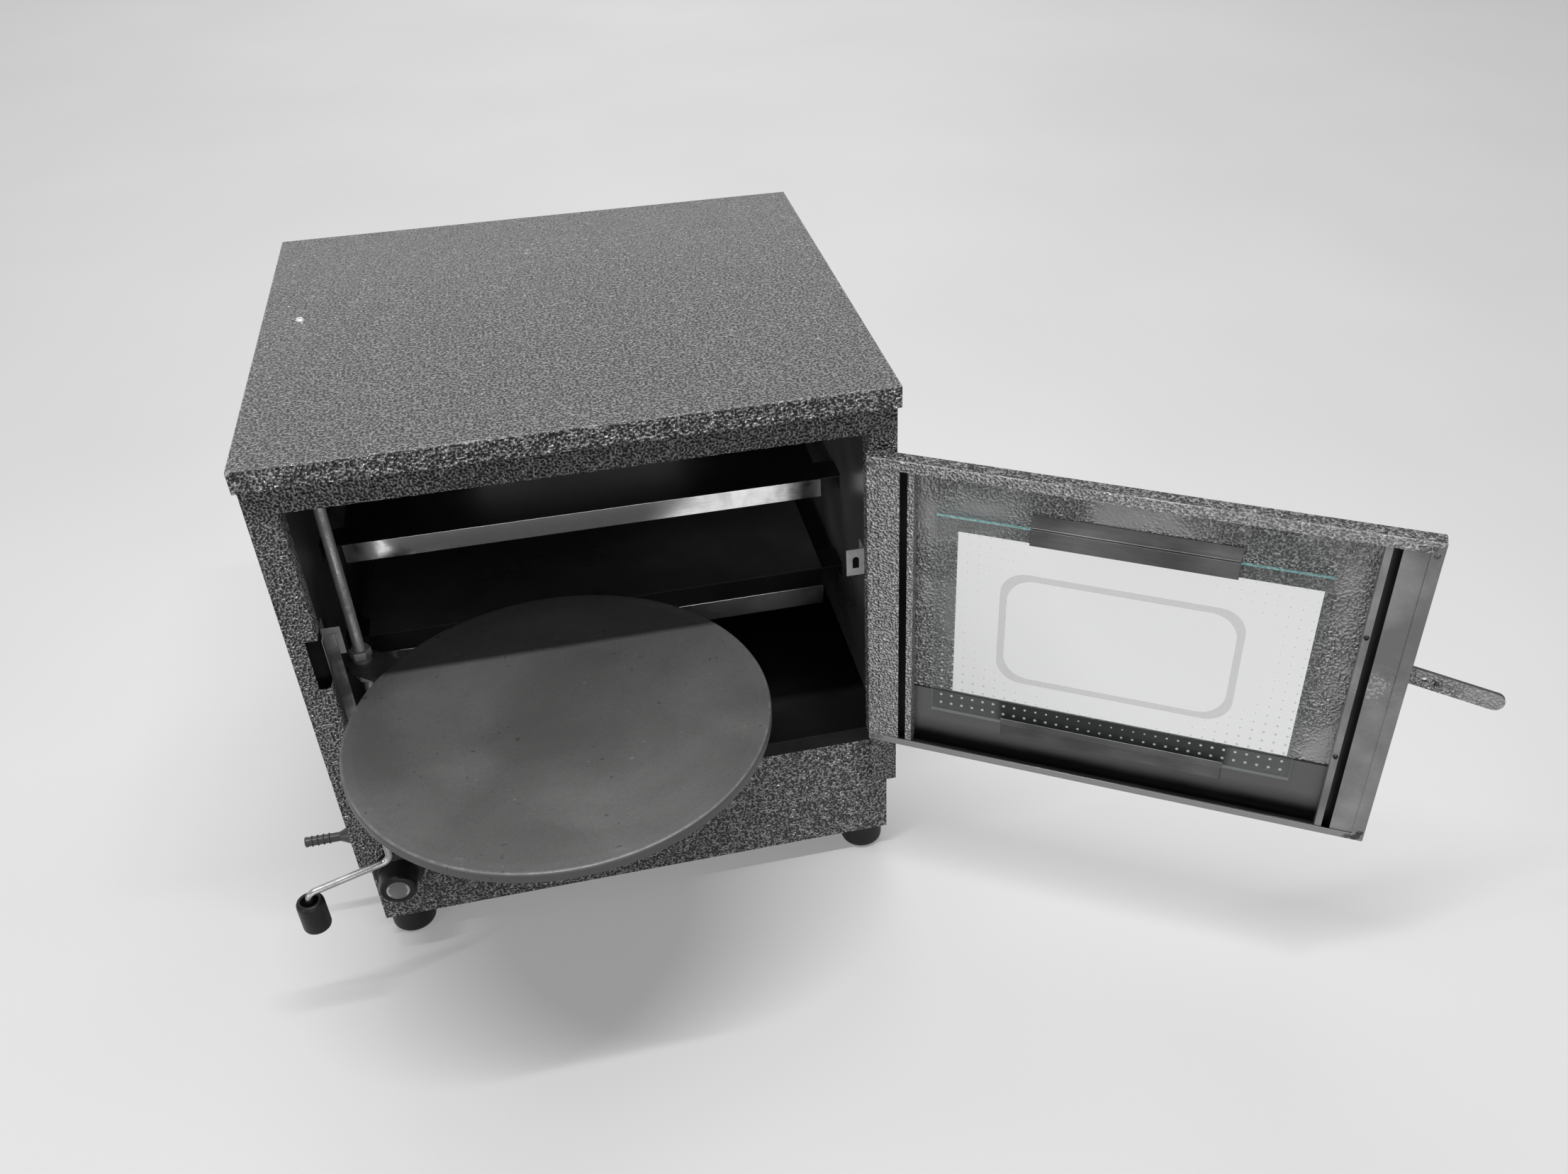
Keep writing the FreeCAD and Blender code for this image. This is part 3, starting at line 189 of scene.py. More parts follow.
# %% [markdown]
# ## Hammer paint
# The cabinet wears hammer-tone paint: as it dries, the metallic pigment draws together into small lumps
# with dark lacquer between them. It could be done with cells, but the real lumps run into one another, so
# a noise about 2 mm across is used, without finer octaves, because the lumps are smooth. The same noise
# gives colour and relief: crests are bright and hollows are dark, partly from the pigment and partly as a
# painted highlight and painted shade that stand in for the light on the relief. The lid's top dried lying
# flat, so its colours lie closer together, and its paint is lighter, partly painted light for the light
# that falls on a top. Its lumps flow out towards the back, where the paint is also made darker, a painted
# shade. The door's inner edges got a thinner, paler coat, rubbed smooth along the foot, and along the lid's
# folds a lighter paint is a painted highlight.

# %% Hammer paint
FLOW_FROM = -0.14
FLOW_TO = 0.18
LID_BACK_SHADE = 0.09
RUB_FADE = 0.001
LUMP_RELIEF = 0.0095


def hammer_lumps(paint, place, size):
    """Smooth lumps that run into one another."""
    return noise(paint, place, size, detail=0.0, distortion=0.2)


def hammer_paint(name, lump, dark, middle, light, lift, rubbed_below=0.0, calm=0.0):
    """Lumpy paint, smooth below one height. calm is how far its lumps flow out towards the back, where it
    also paints shade.
    """
    paint, material = new_finish(name)
    place = own_metres(paint)
    back = calm * share(paint, coordinate(paint, place, "Y"), FLOW_FROM, FLOW_TO)
    kept = share(paint, coordinate(paint, place, "Z"), rubbed_below, rubbed_below + RUB_FADE) * (1 - back)
    # Darker towards the back of the lid: painted shade.
    lumps = 0.5 - LID_BACK_SHADE * back + kept * (hammer_lumps(paint, place, lump) - 0.5)
    drift = noise(paint, place, 0.12, detail=3.0)
    # Bright crests and dark hollows: partly pigment, partly painted highlight and shade for the relief.
    coat(paint,
         Base_Color=ramp(paint, lumps, (0.38, dark), (0.50, middle), (0.62, light)),
         Metallic=0.50,
         Roughness=0.18 + 0.10 * drift,
         Normal=bumped(paint, lumps, lift, LUMP_RELIEF))
    return material


HAMMER = hammer_paint("hammer_paint", 0.0019, grey(0.042), grey(0.145), grey(0.370), 1.0)
# The lid's top paint is lighter than the rest: partly painted light for the light on a top.
HAMMER_FLAT = hammer_paint("hammer_paint_lid", 0.0021, grey(0.080), grey(0.185), grey(0.390), 1.0, calm=0.65)
HAMMER_PALE = hammer_paint("hammer_paint_pale", 0.0019, grey(0.180), grey(0.280), grey(0.420), 0.50,
                           rubbed_below=0.1702)
# Lighter paint for the lid's upper folds: a painted highlight along them.
HAMMER_FOLD_HIGHLIGHT = hammer_paint("hammer_paint_fold_highlight", 0.0020, grey(0.120), grey(0.200), grey(0.320), 0.60)
print("four hammer paints")

# %% [markdown]
# ## Plain paint and galvanised sheet
# The door's free stile carries a thin, smooth grey coat, and the glass clip and rail are galvanised sheet
# with fine scuffs along their length. The door's inner skin got only overspray, so its flecks come in
# patches. The lower panel has painted shade: it is black along its foot, behind the rail and in the seam at
# its top. That finish reads places on the door, so the door's own frame is set up here: X runs from the hinge
# along the door, and its inside looks along -Y.

# %% The door's own frame
DOOR_OPEN = -JOINTS["door_hinge"]["range_deg"][0]
HINGE = Vector(JOINTS["door_hinge"]["pos_m"])
DOOR = Matrix.Translation(HINGE) @ Matrix.Rotation(math.radians(DOOR_OPEN - 180), 4, "Z")
TO_DOOR = DOOR.inverted()
DOOR_WAY = DOOR.to_3x3() @ Vector((1, 0, 0))
INSIDE = DOOR.to_3x3() @ Vector((0, -1, 0))


def door_box(node):
    """A node's least and greatest corner in the door's own frame."""
    spots = [TO_DOOR @ vert.co for vert in frame["nodes"][node].data.vertices]
    return [Vector([pick(spot[axis] for spot in spots) for axis in range(3)]) for pick in (min, max)]


print("door open", DOOR_OPEN, "degrees, its inside looks along", [round(v, 3) for v in INSIDE])

# %% Satin coat
SPLASH_AT = DOOR @ Vector((0.408, -0.0175, 0.322))
SPLASH_CORE = 0.008
SPLASH_RIM = 0.022


def satin(name, low, middle, high, polish):
    """A smooth grey coat with one splash of hammer flecks, beside the latch."""
    paint, material = new_finish(name)
    place = own_metres(paint)
    cloud = noise(paint, place, 0.045, detail=3.0)
    peel = noise(paint, place, 0.0028, detail=1.0)
    away = vector_maths(paint, "DISTANCE", place, SPLASH_AT, output="Value")
    flecks = share(paint, away, SPLASH_RIM, SPLASH_CORE) * hammer_lumps(paint, place, 0.0020)
    tone = ramp(paint, cloud + 0.10 * peel, (0.38, low), (0.55, middle), (0.72, high))
    coat(paint,
         Base_Color=mixed(paint, share(paint, flecks, 0.42, 0.60), tone, grey(0.36)),
         Metallic=0.40,
         Roughness=polish + 0.16 * cloud,
         Normal=bumped(paint, peel + 250 * flecks, 0.12, 0.0006))
    return material


SATIN = satin("satin_grey", grey(0.165), grey(0.230), grey(0.300), 0.24)
print("satin grey with a splash at", [round(v, 3) for v in SPLASH_AT])

# %% Overspray
def overspray(name, low, high):
    """A thin smooth coat with hammer flecks only in patches."""
    paint, material = new_finish(name)
    place = own_metres(paint)
    patch = share(paint, noise(paint, place, 0.07), 0.42, 0.60)
    lumps = hammer_lumps(paint, place, 0.0020)
    cloud = noise(paint, place, 0.05)
    tone = mixed(paint, cloud, low, high)
    flecks = mixed(paint, share(paint, lumps, 0.42, 0.62), low, high)
    coat(paint,
         Base_Color=mixed(paint, patch, tone, flecks),
         Metallic=0.45,
         Roughness=0.30 + 0.14 * cloud,
         Normal=bumped(paint, (0.12 + 0.88 * patch) * lumps, 0.7, 0.0090))
    return material


SKIN = overspray("door_skin", grey(0.150), grey(0.385))
print("overspray for the door's skin")

# %% Panel with painted shade
RAIL_LOW, RAIL_HIGH = door_box("glass_rail")
RAIL_FROM = HINGE.dot(DOOR_WAY) + RAIL_LOW.x
RAIL_TO = HINGE.dot(DOOR_WAY) + RAIL_HIGH.x
RAIL_OVERLAP = 0.004
RAIL_SHADE_TOP = RAIL_HIGH.z - RAIL_OVERLAP
RAIL_FADE = 0.006
PANEL_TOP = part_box("door_lower_panel")[1].z
SEAM = 0.0010
SEAM_FADE = 0.0006


def shaded(name, clean, dark, foot, clear):
    """A smooth coat with painted shade: black along its foot, behind the glass rail and in the seam at its
    top.
    """
    paint, material = new_finish(name)
    place = own_metres(paint)
    cloud = noise(paint, place, 0.05)
    height = coordinate(paint, place, "Z")
    along = vector_maths(paint, "DOT_PRODUCT", place, DOOR_WAY, output="Value")
    # Painted shadow behind the glass rail.
    behind = (share(paint, along, RAIL_FROM - RAIL_FADE, RAIL_FROM)
              * share(paint, along, RAIL_TO + RAIL_FADE, RAIL_TO)
              * share(paint, height, RAIL_SHADE_TOP - RAIL_FADE / 2, RAIL_SHADE_TOP))
    # Painted shade along the foot and in the seam at the top.
    low = share(paint, height + 0.004 * cloud, clear, foot)
    seam = share(paint, height, PANEL_TOP - SEAM - SEAM_FADE, PANEL_TOP - SEAM)
    foot_and_rail_shade = mixed(paint, 0.94 * behind, mixed(paint, low, clean, dark), dark)
    coat(paint,
         Base_Color=mixed(paint, seam, foot_and_rail_shade, dark),
         Metallic=0.40,
         Roughness=0.20 + 0.20 * cloud)
    return material


PANEL = shaded("door_panel", grey(0.115), grey(0.006), foot=0.176, clear=0.196)
print("sooted panel, its top at", round(PANEL_TOP, 4))

# %% Galvanised sheet
def galvanised():
    paint, material = new_finish("galvanised")
    cloud = noise(paint, own_metres(paint), 0.05, detail=3.0)
    scuff = noise(paint, stretched(paint, (0.08, 0.08, 1.0)), 0.0016)
    tone = 0.8 * cloud + 0.2 * scuff
    coat(paint,
         Base_Color=ramp(paint, tone, (0.36, grey(0.07)), (0.50, grey(0.10)), (0.66, grey(0.14))),
         Metallic=0.7,
         Roughness=0.28 + 0.16 * cloud,
         Normal=bumped(paint, scuff, 0.04, 0.0004))
    return material


GALVANISED = galvanised()
print("galvanised sheet")

# %% [markdown]
# ## Oven black
# The oven's inside is stove black, glossy in places and dulled by heat and soot in others. Its colour hardly
# changes, so the roughness does the work: it lets a wall show soft, broken reflections. The side walls are a
# little greyer than the rest, and the baffle, which the flame heats most, and the arm are greyest; on the
# walls and the baffle this lighter black is painted light, for the light that reaches them. Soot lies on the
# floor and on the baffle's front fold, and takes their gloss away.

# %% Oven black
def oven_black(name, low, middle, high, gloss):
    paint, material = new_finish(name)
    place = own_metres(paint)
    soot = noise(paint, place, 0.09, detail=4.0)
    speck = noise(paint, place, 0.0022, detail=1.0)
    coat(paint,
         Base_Color=ramp(paint, soot + 0.2 * speck, (0.45, low), (0.68, middle), (0.85, high)),
         Specular_IOR_Level=gloss,
         Roughness=0.16 + 0.30 * soot,
         Normal=bumped(paint, speck, 0.12, 0.0004))
    return material


BLACK = oven_black("oven_black", grey(0.016), grey(0.026), grey(0.044), 0.5)
# Greyer than the black: painted light on the side walls.
LINER = oven_black("oven_liner", grey(0.080), grey(0.115), grey(0.160), 0.5)
# Greyer still: painted light on the baffle; the arm wears it as its colour.
BAFFLE = oven_black("oven_baffle", grey(0.130), grey(0.180), grey(0.250), 0.5)
SOOT = oven_black("oven_soot", grey(0.007), grey(0.011), grey(0.020), 0.08)
print("four oven blacks")

# %% [markdown]
# ## Bright and bare steel
# The strips on the baffle and the heat shield are polished stainless with smears and heat stains. The post,
# its nuts and the pins are bare steel, the handle rod is drawn smooth, the strip on the latch side and the
# welds are dull, and the screws are zinc-plated. One recipe serves them all, because they differ only in
# brightness, in how far they are stained and in grain.

# %% Steels
def steel(name, clean, stained, polish, smear, grain, metal=1.0, tooth=0.03):
    paint, material = new_finish(name)
    cloud = noise(paint, own_metres(paint), smear, detail=4.0, roughness=0.6, distortion=0.6)
    line = noise(paint, stretched(paint, grain), 0.0012)
    mask = share(paint, cloud + 0.15 * line, 0.48, 0.68)
    coat(paint,
         Base_Color=mixed(paint, mask, clean, stained),
         Metallic=metal,
         Roughness=polish * (1 + 1.6 * mask + 0.5 * line),
         Normal=bumped(paint, line, tooth, 0.0003))
    return material


STAINLESS = steel("stainless_bright", grey(0.95), grey(0.70), 0.08, 0.055, (0.05, 1.0, 1.0))
BARE = steel("bare_steel", grey(0.70), grey(0.46), 0.24, 0.02, (1.0, 1.0, 0.08), metal=0.6)
ROD = steel("bright_rod", grey(0.36), grey(0.26), 0.22, 0.05, (1.0, 1.0, 1.0), tooth=0.0)
DULL = steel("dull_strip", grey(0.20), grey(0.07), 0.25, 0.04, (1.0, 1.0, 0.05), metal=0.8)
TAB = steel("bright_tab", grey(0.85), grey(0.70), 0.30, 0.02, (1.0, 1.0, 1.0), metal=0.25)
ZINC = steel("zinc_screw", grey(0.86), grey(0.62), 0.20, 0.006, (1.0, 1.0, 1.0))
print("six steels")

# %% [markdown]
# ## Iron of the baking plate
# The plate is a thick, dark iron disc. Up close it has three scales: broad clouds from heating, a fine grain,
# and a scatter of tiny pits and pale nicks. A band along the rim is a little paler. The upper edge has a
# broken pale line, a painted highlight, and the plate's side is painted darker, a painted shade. The distance
# from the plate's centre makes the band.
# The burner is sand-cast iron, so it is rougher, and it has begun to rust.

# %% Plate iron
PLATE_AT = Vector(JOINTS["plate_spin"]["pos_m"])
PLATE_RADIUS = 0.1737
PLATE_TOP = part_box("baking_plate")[1].z
RIM_BAND = 0.012
RIM_FADE = 0.003
EDGE_HIGHLIGHT = 0.0030
EDGE_HIGHLIGHT_FADE = 0.0008
EDGE_HIGHLIGHT_DEPTH = 0.0008
EDGE_HIGHLIGHT_FULL = 0.0003
SIDE_FROM = 0.0004
SIDE_FULL = 0.0011


def plate_iron():
    paint, material = new_finish("plate_iron")
    place = own_metres(paint)
    flat = vector_maths(paint, "MULTIPLY", vector_maths(paint, "SUBTRACT", place, PLATE_AT), (1, 1, 0))
    out = vector_maths(paint, "LENGTH", flat, output="Value")
    cloud = noise(paint, place, 0.11, detail=4.0, distortion=0.5)
    grain = noise(paint, place, 0.0016, detail=3.0)
    spots = noise(paint, place, 0.0058, detail=1.0, roughness=0.4)
    patches = noise(paint, place, 0.05)
    pit = share(paint, spots, 0.71, 0.76) * share(paint, patches, 0.46, 0.58)
    nick = share(paint, 1 - spots, 0.72, 0.77) * share(paint, patches, 0.48, 0.60)
    height = coordinate(paint, place, "Z")
    rim = share(paint, out, PLATE_RADIUS - RIM_BAND, PLATE_RADIUS - RIM_BAND + RIM_FADE)
    # A broken pale line along the upper edge: a painted highlight.
    edge = (share(paint, out, PLATE_RADIUS - EDGE_HIGHLIGHT, PLATE_RADIUS - EDGE_HIGHLIGHT + EDGE_HIGHLIGHT_FADE)
            * share(paint, height, PLATE_TOP - EDGE_HIGHLIGHT_DEPTH, PLATE_TOP - EDGE_HIGHLIGHT_FULL)
            * share(paint, noise(paint, place, 0.008), 0.40, 0.60))
    # The plate's side is painted darker: a painted shade.
    side = share(paint, height, PLATE_TOP - SIDE_FROM, PLATE_TOP - SIDE_FULL)
    tone = 0.7 * cloud + 0.3 * grain
    body = ramp(paint, tone, (0.36, grey(0.095, 0.01)), (0.52, grey(0.125, 0.01)), (0.66, grey(0.155, 0.01)))
    banded = mixed(paint, 0.05 * rim + 0.22 * edge, mixed(paint, 0.8 * side, body, grey(0.05)), grey(0.34))
    nicked = mixed(paint, 0.3 * nick, banded, grey(0.28))
    coat(paint,
         Base_Color=mixed(paint, 0.6 * pit, nicked, grey(0.03)),
         Metallic=0.35,
         Roughness=0.46 + 0.14 * cloud - 0.05 * rim,
         Normal=bumped(paint, grain - 1.6 * pit + 0.5 * nick, 0.16, 0.0007))
    return material


IRON = plate_iron()
print("plate radius", PLATE_RADIUS, "top at", round(PLATE_TOP, 4))

# %% Burner iron
def cast_iron():
    paint, material = new_finish("cast_iron")
    sand = noise(paint, own_metres(paint), 0.002, detail=3.0)
    rust = noise(paint, own_metres(paint), 0.03, detail=4.0)
    coat(paint,
         Base_Color=mixed(paint, share(paint, rust, 0.55, 0.7), grey(0.045), (0.10, 0.055, 0.03, 1)),
         Metallic=0.3,
         Roughness=0.62 + 0.2 * rust,
         Normal=bumped(paint, sand, 0.35, 0.0008))
    return material


CAST = cast_iron()
print("cast iron")

# %% [markdown]
# ## Brass, pipe, rubber and black plastic
# These are small and mostly in shade. Each still has its own wear: brass and the pipe tarnish in clouds,
# rubber is dusty and dull, and the moulded plastic of the knob, its dial and the grip is faintly grained.

# %% Small finishes
def tarnished(name, clean, dull, polish):
    paint, material = new_finish(name)
    cloud = noise(paint, own_metres(paint), 0.012, detail=4.0)
    mask = share(paint, cloud, 0.42, 0.66)
    coat(paint, Base_Color=mixed(paint, mask, clean, dull), Metallic=1.0, Roughness=polish + 0.25 * mask)
    return material


def moulded(name, low, high, polish, grain, depth):
    paint, material = new_finish(name)
    dust = noise(paint, own_metres(paint), 0.018, detail=4.0)
    skin = noise(paint, own_metres(paint), grain)
    coat(paint,
         Base_Color=ramp(paint, dust, (0.40, low), (0.72, high)),
         Roughness=polish + 0.25 * dust,
         Specular_IOR_Level=0.25,
         Normal=bumped(paint, skin, 0.2, depth))
    return material


BRASS = tarnished("brass", (0.72, 0.52, 0.22, 1), (0.36, 0.25, 0.11, 1), 0.22)
PIPE = tarnished("pipe_alloy", grey(0.62), grey(0.40), 0.30)
RUBBER = moulded("rubber", grey(0.005), grey(0.014), 0.34, 0.0012, 0.0004)
PLASTIC = moulded("black_plastic", grey(0.004), grey(0.010), 0.24, 0.0009, 0.0002)
DIAL = moulded("dial_grey", grey(0.15), grey(0.21), 0.34, 0.0010, 0.0002)
MARK = moulded("dial_mark", grey(0.42), grey(0.52), 0.40, 0.0010, 0.0001)
print("six small finishes")

# %% [markdown]
# ## Glass
# Window glass 4 mm thick lets nearly all light through. A refracting shader would throw a black shadow here,
# because lamps don't shine through it without caustics, so the pane is a clear coat with a low alpha that
# rises at grazing angles, as reflection does. The cut upper edge collects the green of the glass.

# %% Glass finishes
def clear_glass():
    paint, material = new_finish("clear_glass")
    film = noise(paint, own_metres(paint), 0.06, detail=3.0)
    glance = paint.node("Fresnel", None, {"IOR": 1.45})
    coat(paint,
         Base_Color=(0.42, 0.46, 0.46, 1),
         Roughness=0.03 + 0.05 * film,
         Alpha=0.015 + 0.02 * film + 0.5 * glance)
    return material


def glass_edge():
    paint, material = new_finish("glass_edge")
    chips = noise(paint, own_metres(paint), 0.003)
    coat(paint,
         Base_Color=ramp(paint, chips, (0.38, (0.20, 0.44, 0.43, 1)), (0.62, (0.42, 0.72, 0.71, 1))),
         Roughness=0.14 + 0.2 * chips,
         Alpha=0.88)
    return material


def print_ink(name, colour, cover):
    paint, material = new_finish(name)
    speckle = noise(paint, own_metres(paint), 0.0011)
    coat(paint, Base_Color=colour, Roughness=0.55 + 0.2 * speckle, Alpha=cover + 0.15 * speckle)
    return material


CLEAR = clear_glass()
EDGE = glass_edge()
DOT_INK = print_ink("dot_ink", grey(0.82), 0.85)
FROST = print_ink("frost_band", grey(0.58), 0.34)
print("glass, edge and two inks")

# %% [markdown]
# ## Camera, floor and light
# The camera was worked out from the straight edges of the oven in the photograph: its place, its tilt and
# the pixel that its axis goes through. The axis isn't quite the middle of the picture, so the lens
# is shifted a little. The floor is plain and pale. A lamp overhead and a little in front draws the header's
# shadow across the plate, as in the photograph. Low lamps in front reach the apron under the plate, and
# large ones overhead and the world fill in softly.

# %% Camera
IMAGE_WIDTH = 2212
IMAGE_HEIGHT = 1656
SENSOR_WIDTH = 36
FOCAL_PIXELS = 1919.4
AXIS_PIXEL_X = 1185.8
AXIS_PIXEL_Y = 867.2
CAMERA_AT = Vector((-0.0099, -1.1499, 0.9883))
YAW = math.radians(12.63)
PITCH = math.radians(36.22)
ROLL = math.radians(-1.42)

ahead = Vector((math.sin(YAW) * math.cos(PITCH), math.cos(YAW) * math.cos(PITCH), -math.sin(PITCH)))
level = Vector((math.cos(YAW), -math.sin(YAW), 0))
above = level.cross(ahead)
right = level * math.cos(ROLL) + above * math.sin(ROLL)
top = above * math.cos(ROLL) - level * math.sin(ROLL)
lens = bpy.data.cameras.new("camera")
lens.sensor_fit = "HORIZONTAL"
lens.sensor_width = SENSOR_WIDTH
lens.lens = SENSOR_WIDTH * FOCAL_PIXELS / IMAGE_WIDTH
lens.shift_x = (IMAGE_WIDTH / 2 - AXIS_PIXEL_X) / IMAGE_WIDTH
lens.shift_y = (AXIS_PIXEL_Y - IMAGE_HEIGHT / 2) / IMAGE_WIDTH
camera = bpy.data.objects.new("camera", lens)
bpy.context.scene.collection.objects.link(camera)
facing = Matrix((right, top, -ahead)).transposed()
camera.matrix_world = Matrix.Translation(CAMERA_AT) @ facing.to_4x4()
bpy.context.scene.camera = camera
bpy.context.scene.view_settings.view_transform = "Standard"
print("lens", round(lens.lens, 2), "mm")

# %% Floor
FLOOR_HALF = 9.0


def rays_seen(field):
    """1 for rays that show the backdrop, also in a mirror or through glass, and 0 for those that light."""
    return (field.node("LightPath", output="Is Camera Ray") + field.node("LightPath", output="Is Glossy Ray")
            + field.node("LightPath", output="Is Transmission Ray"))


floor_mesh = bpy.data.meshes.new("floor")
corners = [(x * FLOOR_HALF, y * FLOOR_HALF, 0) for x, y in ((-1, -1), (1, -1), (1, 1), (-1, 1))]
floor_mesh.from_pydata(corners, [], [(0, 1, 2, 3)])
floor = bpy.data.objects.new("floor", floor_mesh)
bpy.context.scene.collection.objects.link(floor)
paint, FLOOR = new_finish("pale_floor")
wash = noise(paint, own_metres(paint), 0.6)
coat(paint,
     Base_Color=ramp(paint, wash, (0.3, grey(0.49)), (0.7, grey(0.53))),
     Roughness=0.55,
     Emission_Color=mixed(paint, rays_seen(paint), grey(0.0), grey(0.9)),
     Emission_Strength=0.25)
floor_mesh.materials.append(FLOOR)
print("floor", 2 * FLOOR_HALF, "m wide")

# %% Lamps and world
# Each lamp has a name, a place, a target, a width and a depth in metres, and its watts.
LAMPS = (
    ("lamp_over", (-0.05, -0.75, 2.5), (-0.05, -0.15, 0.3), 1.8, 0.06, 39),
    ("lamp_sky", (0.3, 0.7, 3.4), (0.2, 0.3, 0.0), 3.4, 3.4, 40),
    ("lamp_far", (0.5, 4.2, 3.0), (0.5, 3.8, 0.0), 3.0, 3.0, 60),
    ("lamp_left", (-2.1, -1.7, 0.85), (0.1, -0.2, 0.2), 1.2, 0.7, 10),
    ("lamp_low", (0.2, -2.7, 0.45), (0.1, -0.2, 0.25), 1.8, 0.5, 11),
)
for name, place, target, width, depth, power in LAMPS:
    light = bpy.data.lights.new(name, "AREA")
    light.shape = "RECTANGLE"
    light.size = width
    light.size_y = depth
    light.energy = power
    lamp = bpy.data.objects.new(name, light)
    bpy.context.scene.collection.objects.link(lamp)
    lamp.location = place
    lamp.rotation_euler = (Vector(target) - Vector(place)).to_track_quat("-Z", "Y").to_euler()

world = bpy.data.worlds.new("studio")
world.use_nodes = True
world.node_tree.nodes.clear()
bpy.context.scene.world = world
sky = Field(world.node_tree)
glow = sky.node("Background", None, {"Color": grey(0.9), "Strength": 0.17 + 0.68 * rays_seen(sky)})
sky.node("OutputWorld", None, {"Surface": glow})
print(len(LAMPS), "lamps and a pale world")

# %% [markdown]
# ## Making pieces
# A few helpers make nearly every piece. One copies a CAD sheet, merges its loose triangles and rounds its
# folds. A bevel of one width would be too large on a cut edge 1 mm thick and too small on a fold, so each
# edge gets a weight from the narrower of its two faces. Another spins a profile, as a lathe does. The rest
# make a piece ride its body, stand for the nodes that it replaces and wear a second finish on some faces.

# %% Pieces, their finish and their body
def applied(piece):
    """Turn a piece's modifiers into its plain mesh."""
    graph = bpy.context.evaluated_depsgraph_get()
    plain = bpy.data.meshes.new_from_object(piece.evaluated_get(graph), depsgraph=graph)
    piece.modifiers.clear()
    piece.data = plain
    return piece


def placed(name, mesh):
    """An object for a mesh, at the origin."""
    piece = bpy.data.objects.new(name, mesh)
    bpy.context.scene.collection.objects.link(piece)
    return piece


def recoat(mesh, finish):
    """Give a whole mesh one finish and leave its shape alone."""
    mesh.materials.clear()
    mesh.materials.append(finish)


def dress_faces(piece, choose):
    """Give each face the finish that choose names for it."""
    finishes = piece.data.materials
    for face in piece.data.polygons:
        finish = choose(face)
        if finish.name not in finishes:
            finishes.append(finish)
        face.material_index = finishes.find(finish.name)


def settle(piece, body, slot, *nodes):
    """Make a piece ride its body and stand for the nodes that it replaces. slot is not used."""
    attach(piece, body)
    if nodes:
        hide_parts(*nodes)
    return piece


print("piece helpers ready")

# %% Sheets with rounded folds
FOLD = 0.0011
STRIP_FOLD = 0.0004
SMALL_FOLD = 0.0005
STILE_FOLD = 0.0006
BAR_FOLD = 0.0008
SAME_SPOT = 2e-5
FLAT_WITHIN = math.radians(0.8)
SHARP_FROM = math.radians(40)
SHORTEST_EDGE = 0.0025
NARROW_SHARE = 0.3


def merged(node):
    """A node's triangles as one joined surface with flat faces dissolved."""
    surface = bmesh.new()
    surface.from_mesh(frame["nodes"][node].data)
    bmesh.ops.remove_doubles(surface, verts=surface.verts, dist=SAME_SPOT)
    bmesh.ops.dissolve_limit(surface, angle_limit=FLAT_WITHIN, verts=surface.verts, edges=surface.edges)
    return surface


def smooth_piece(name, surface, finish):
    """Turn a surface into a piece with smooth faces."""
    for face in surface.faces:
        face.smooth = True
    mesh = bpy.data.meshes.new(name)
    surface.to_mesh(mesh)
    surface.free()
    mesh.materials.append(finish)
    return placed(name, mesh)


def shell(node, finish, fold=FOLD):
    """A copy of a CAD node with its outer edges rounded."""
    surface = merged(node)
    weight = surface.edges.layers.float.new("bevel_weight_edge")
    for edge in surface.edges:
        if len(edge.link_faces) != 2 or not edge.is_convex or edge.calc_length() < SHORTEST_EDGE:
            continue
        if edge.calc_face_angle() < SHARP_FROM:
            continue
        narrow = min(face.calc_area() / max(side.calc_length() for side in face.edges)
                     for face in edge.link_faces)
        edge[weight] = min(1.0, NARROW_SHARE * narrow / fold)
    piece = smooth_piece(node + "_shell", surface, finish)
    bevel = piece.modifiers.new("fold", "BEVEL")
    bevel.limit_method = "WEIGHT"
    bevel.width = fold
    bevel.segments = 2
    piece.modifiers.new("even", "WEIGHTED_NORMAL")
    return applied(piece)


def sheet(node, finish, body, slot, fold=FOLD):
    """A rounded copy of a CAD node that takes its place."""
    return settle(shell(node, finish, fold), body, slot, node)


print("fold radius", FOLD * 1000, "mm")

# %% Lathe
def lathe(name, profile, foot, axis, finish, steps=96):
    """Spin (radius, height) points in millimetres about an axis that starts at foot."""
    axis = Vector(axis).normalized()
    side = axis.orthogonal().normalized()
    cross = axis.cross(side)
    surface = bmesh.new()
    rings = []
    for radius, height in profile:
        middle = Vector(foot) + axis * height / 1000
        if radius == 0:
            rings.append([surface.verts.new(middle)] * steps)
            continue
        angles = [2 * math.pi * n / steps for n in range(steps)]
        rings.append([surface.verts.new(middle + (side * math.cos(a) + cross * math.sin(a)) * radius / 1000)
                      for a in angles])
    for low, high in zip(rings, rings[1:]):
        for n in range(steps):
            corners = [low[n], low[(n + 1) % steps], high[(n + 1) % steps], high[n]]
            surface.faces.new(list(dict.fromkeys(corners)))
    bmesh.ops.recalc_face_normals(surface, faces=surface.faces)
    piece = smooth_piece(name, surface, finish)
    piece.modifiers.new("even", "WEIGHTED_NORMAL")
    return applied(piece)


print("lathe ready")

# %% [markdown]
# ## Cabinet sheets
# The cabinet is folded from 1 mm sheet: a lid with a skirt, two sides whose front edges fold in as stiles,
# a header, and a base box set in a little. All of it wears hammer paint. The lid's top gets the flatter,
# lighter paint, partly painted light, and its upper folds a lighter paint that is a painted highlight,
# chosen by the direction each face looks. The apron's upper return belongs to the oven floor and is black,
# and so are the folds behind the stiles, which the notch shows.

# %% Cabinet sheets
CABINET_SHEETS = ("lid", "side_panel_left", "side_panel_right", "back_panel", "header", "apron",
                  "base_side_left", "base_side_right", "base_back")
BEHIND_FRONT = -0.215
LEVEL = 0.97
SLOPING = 0.2
SQUARE = 0.9


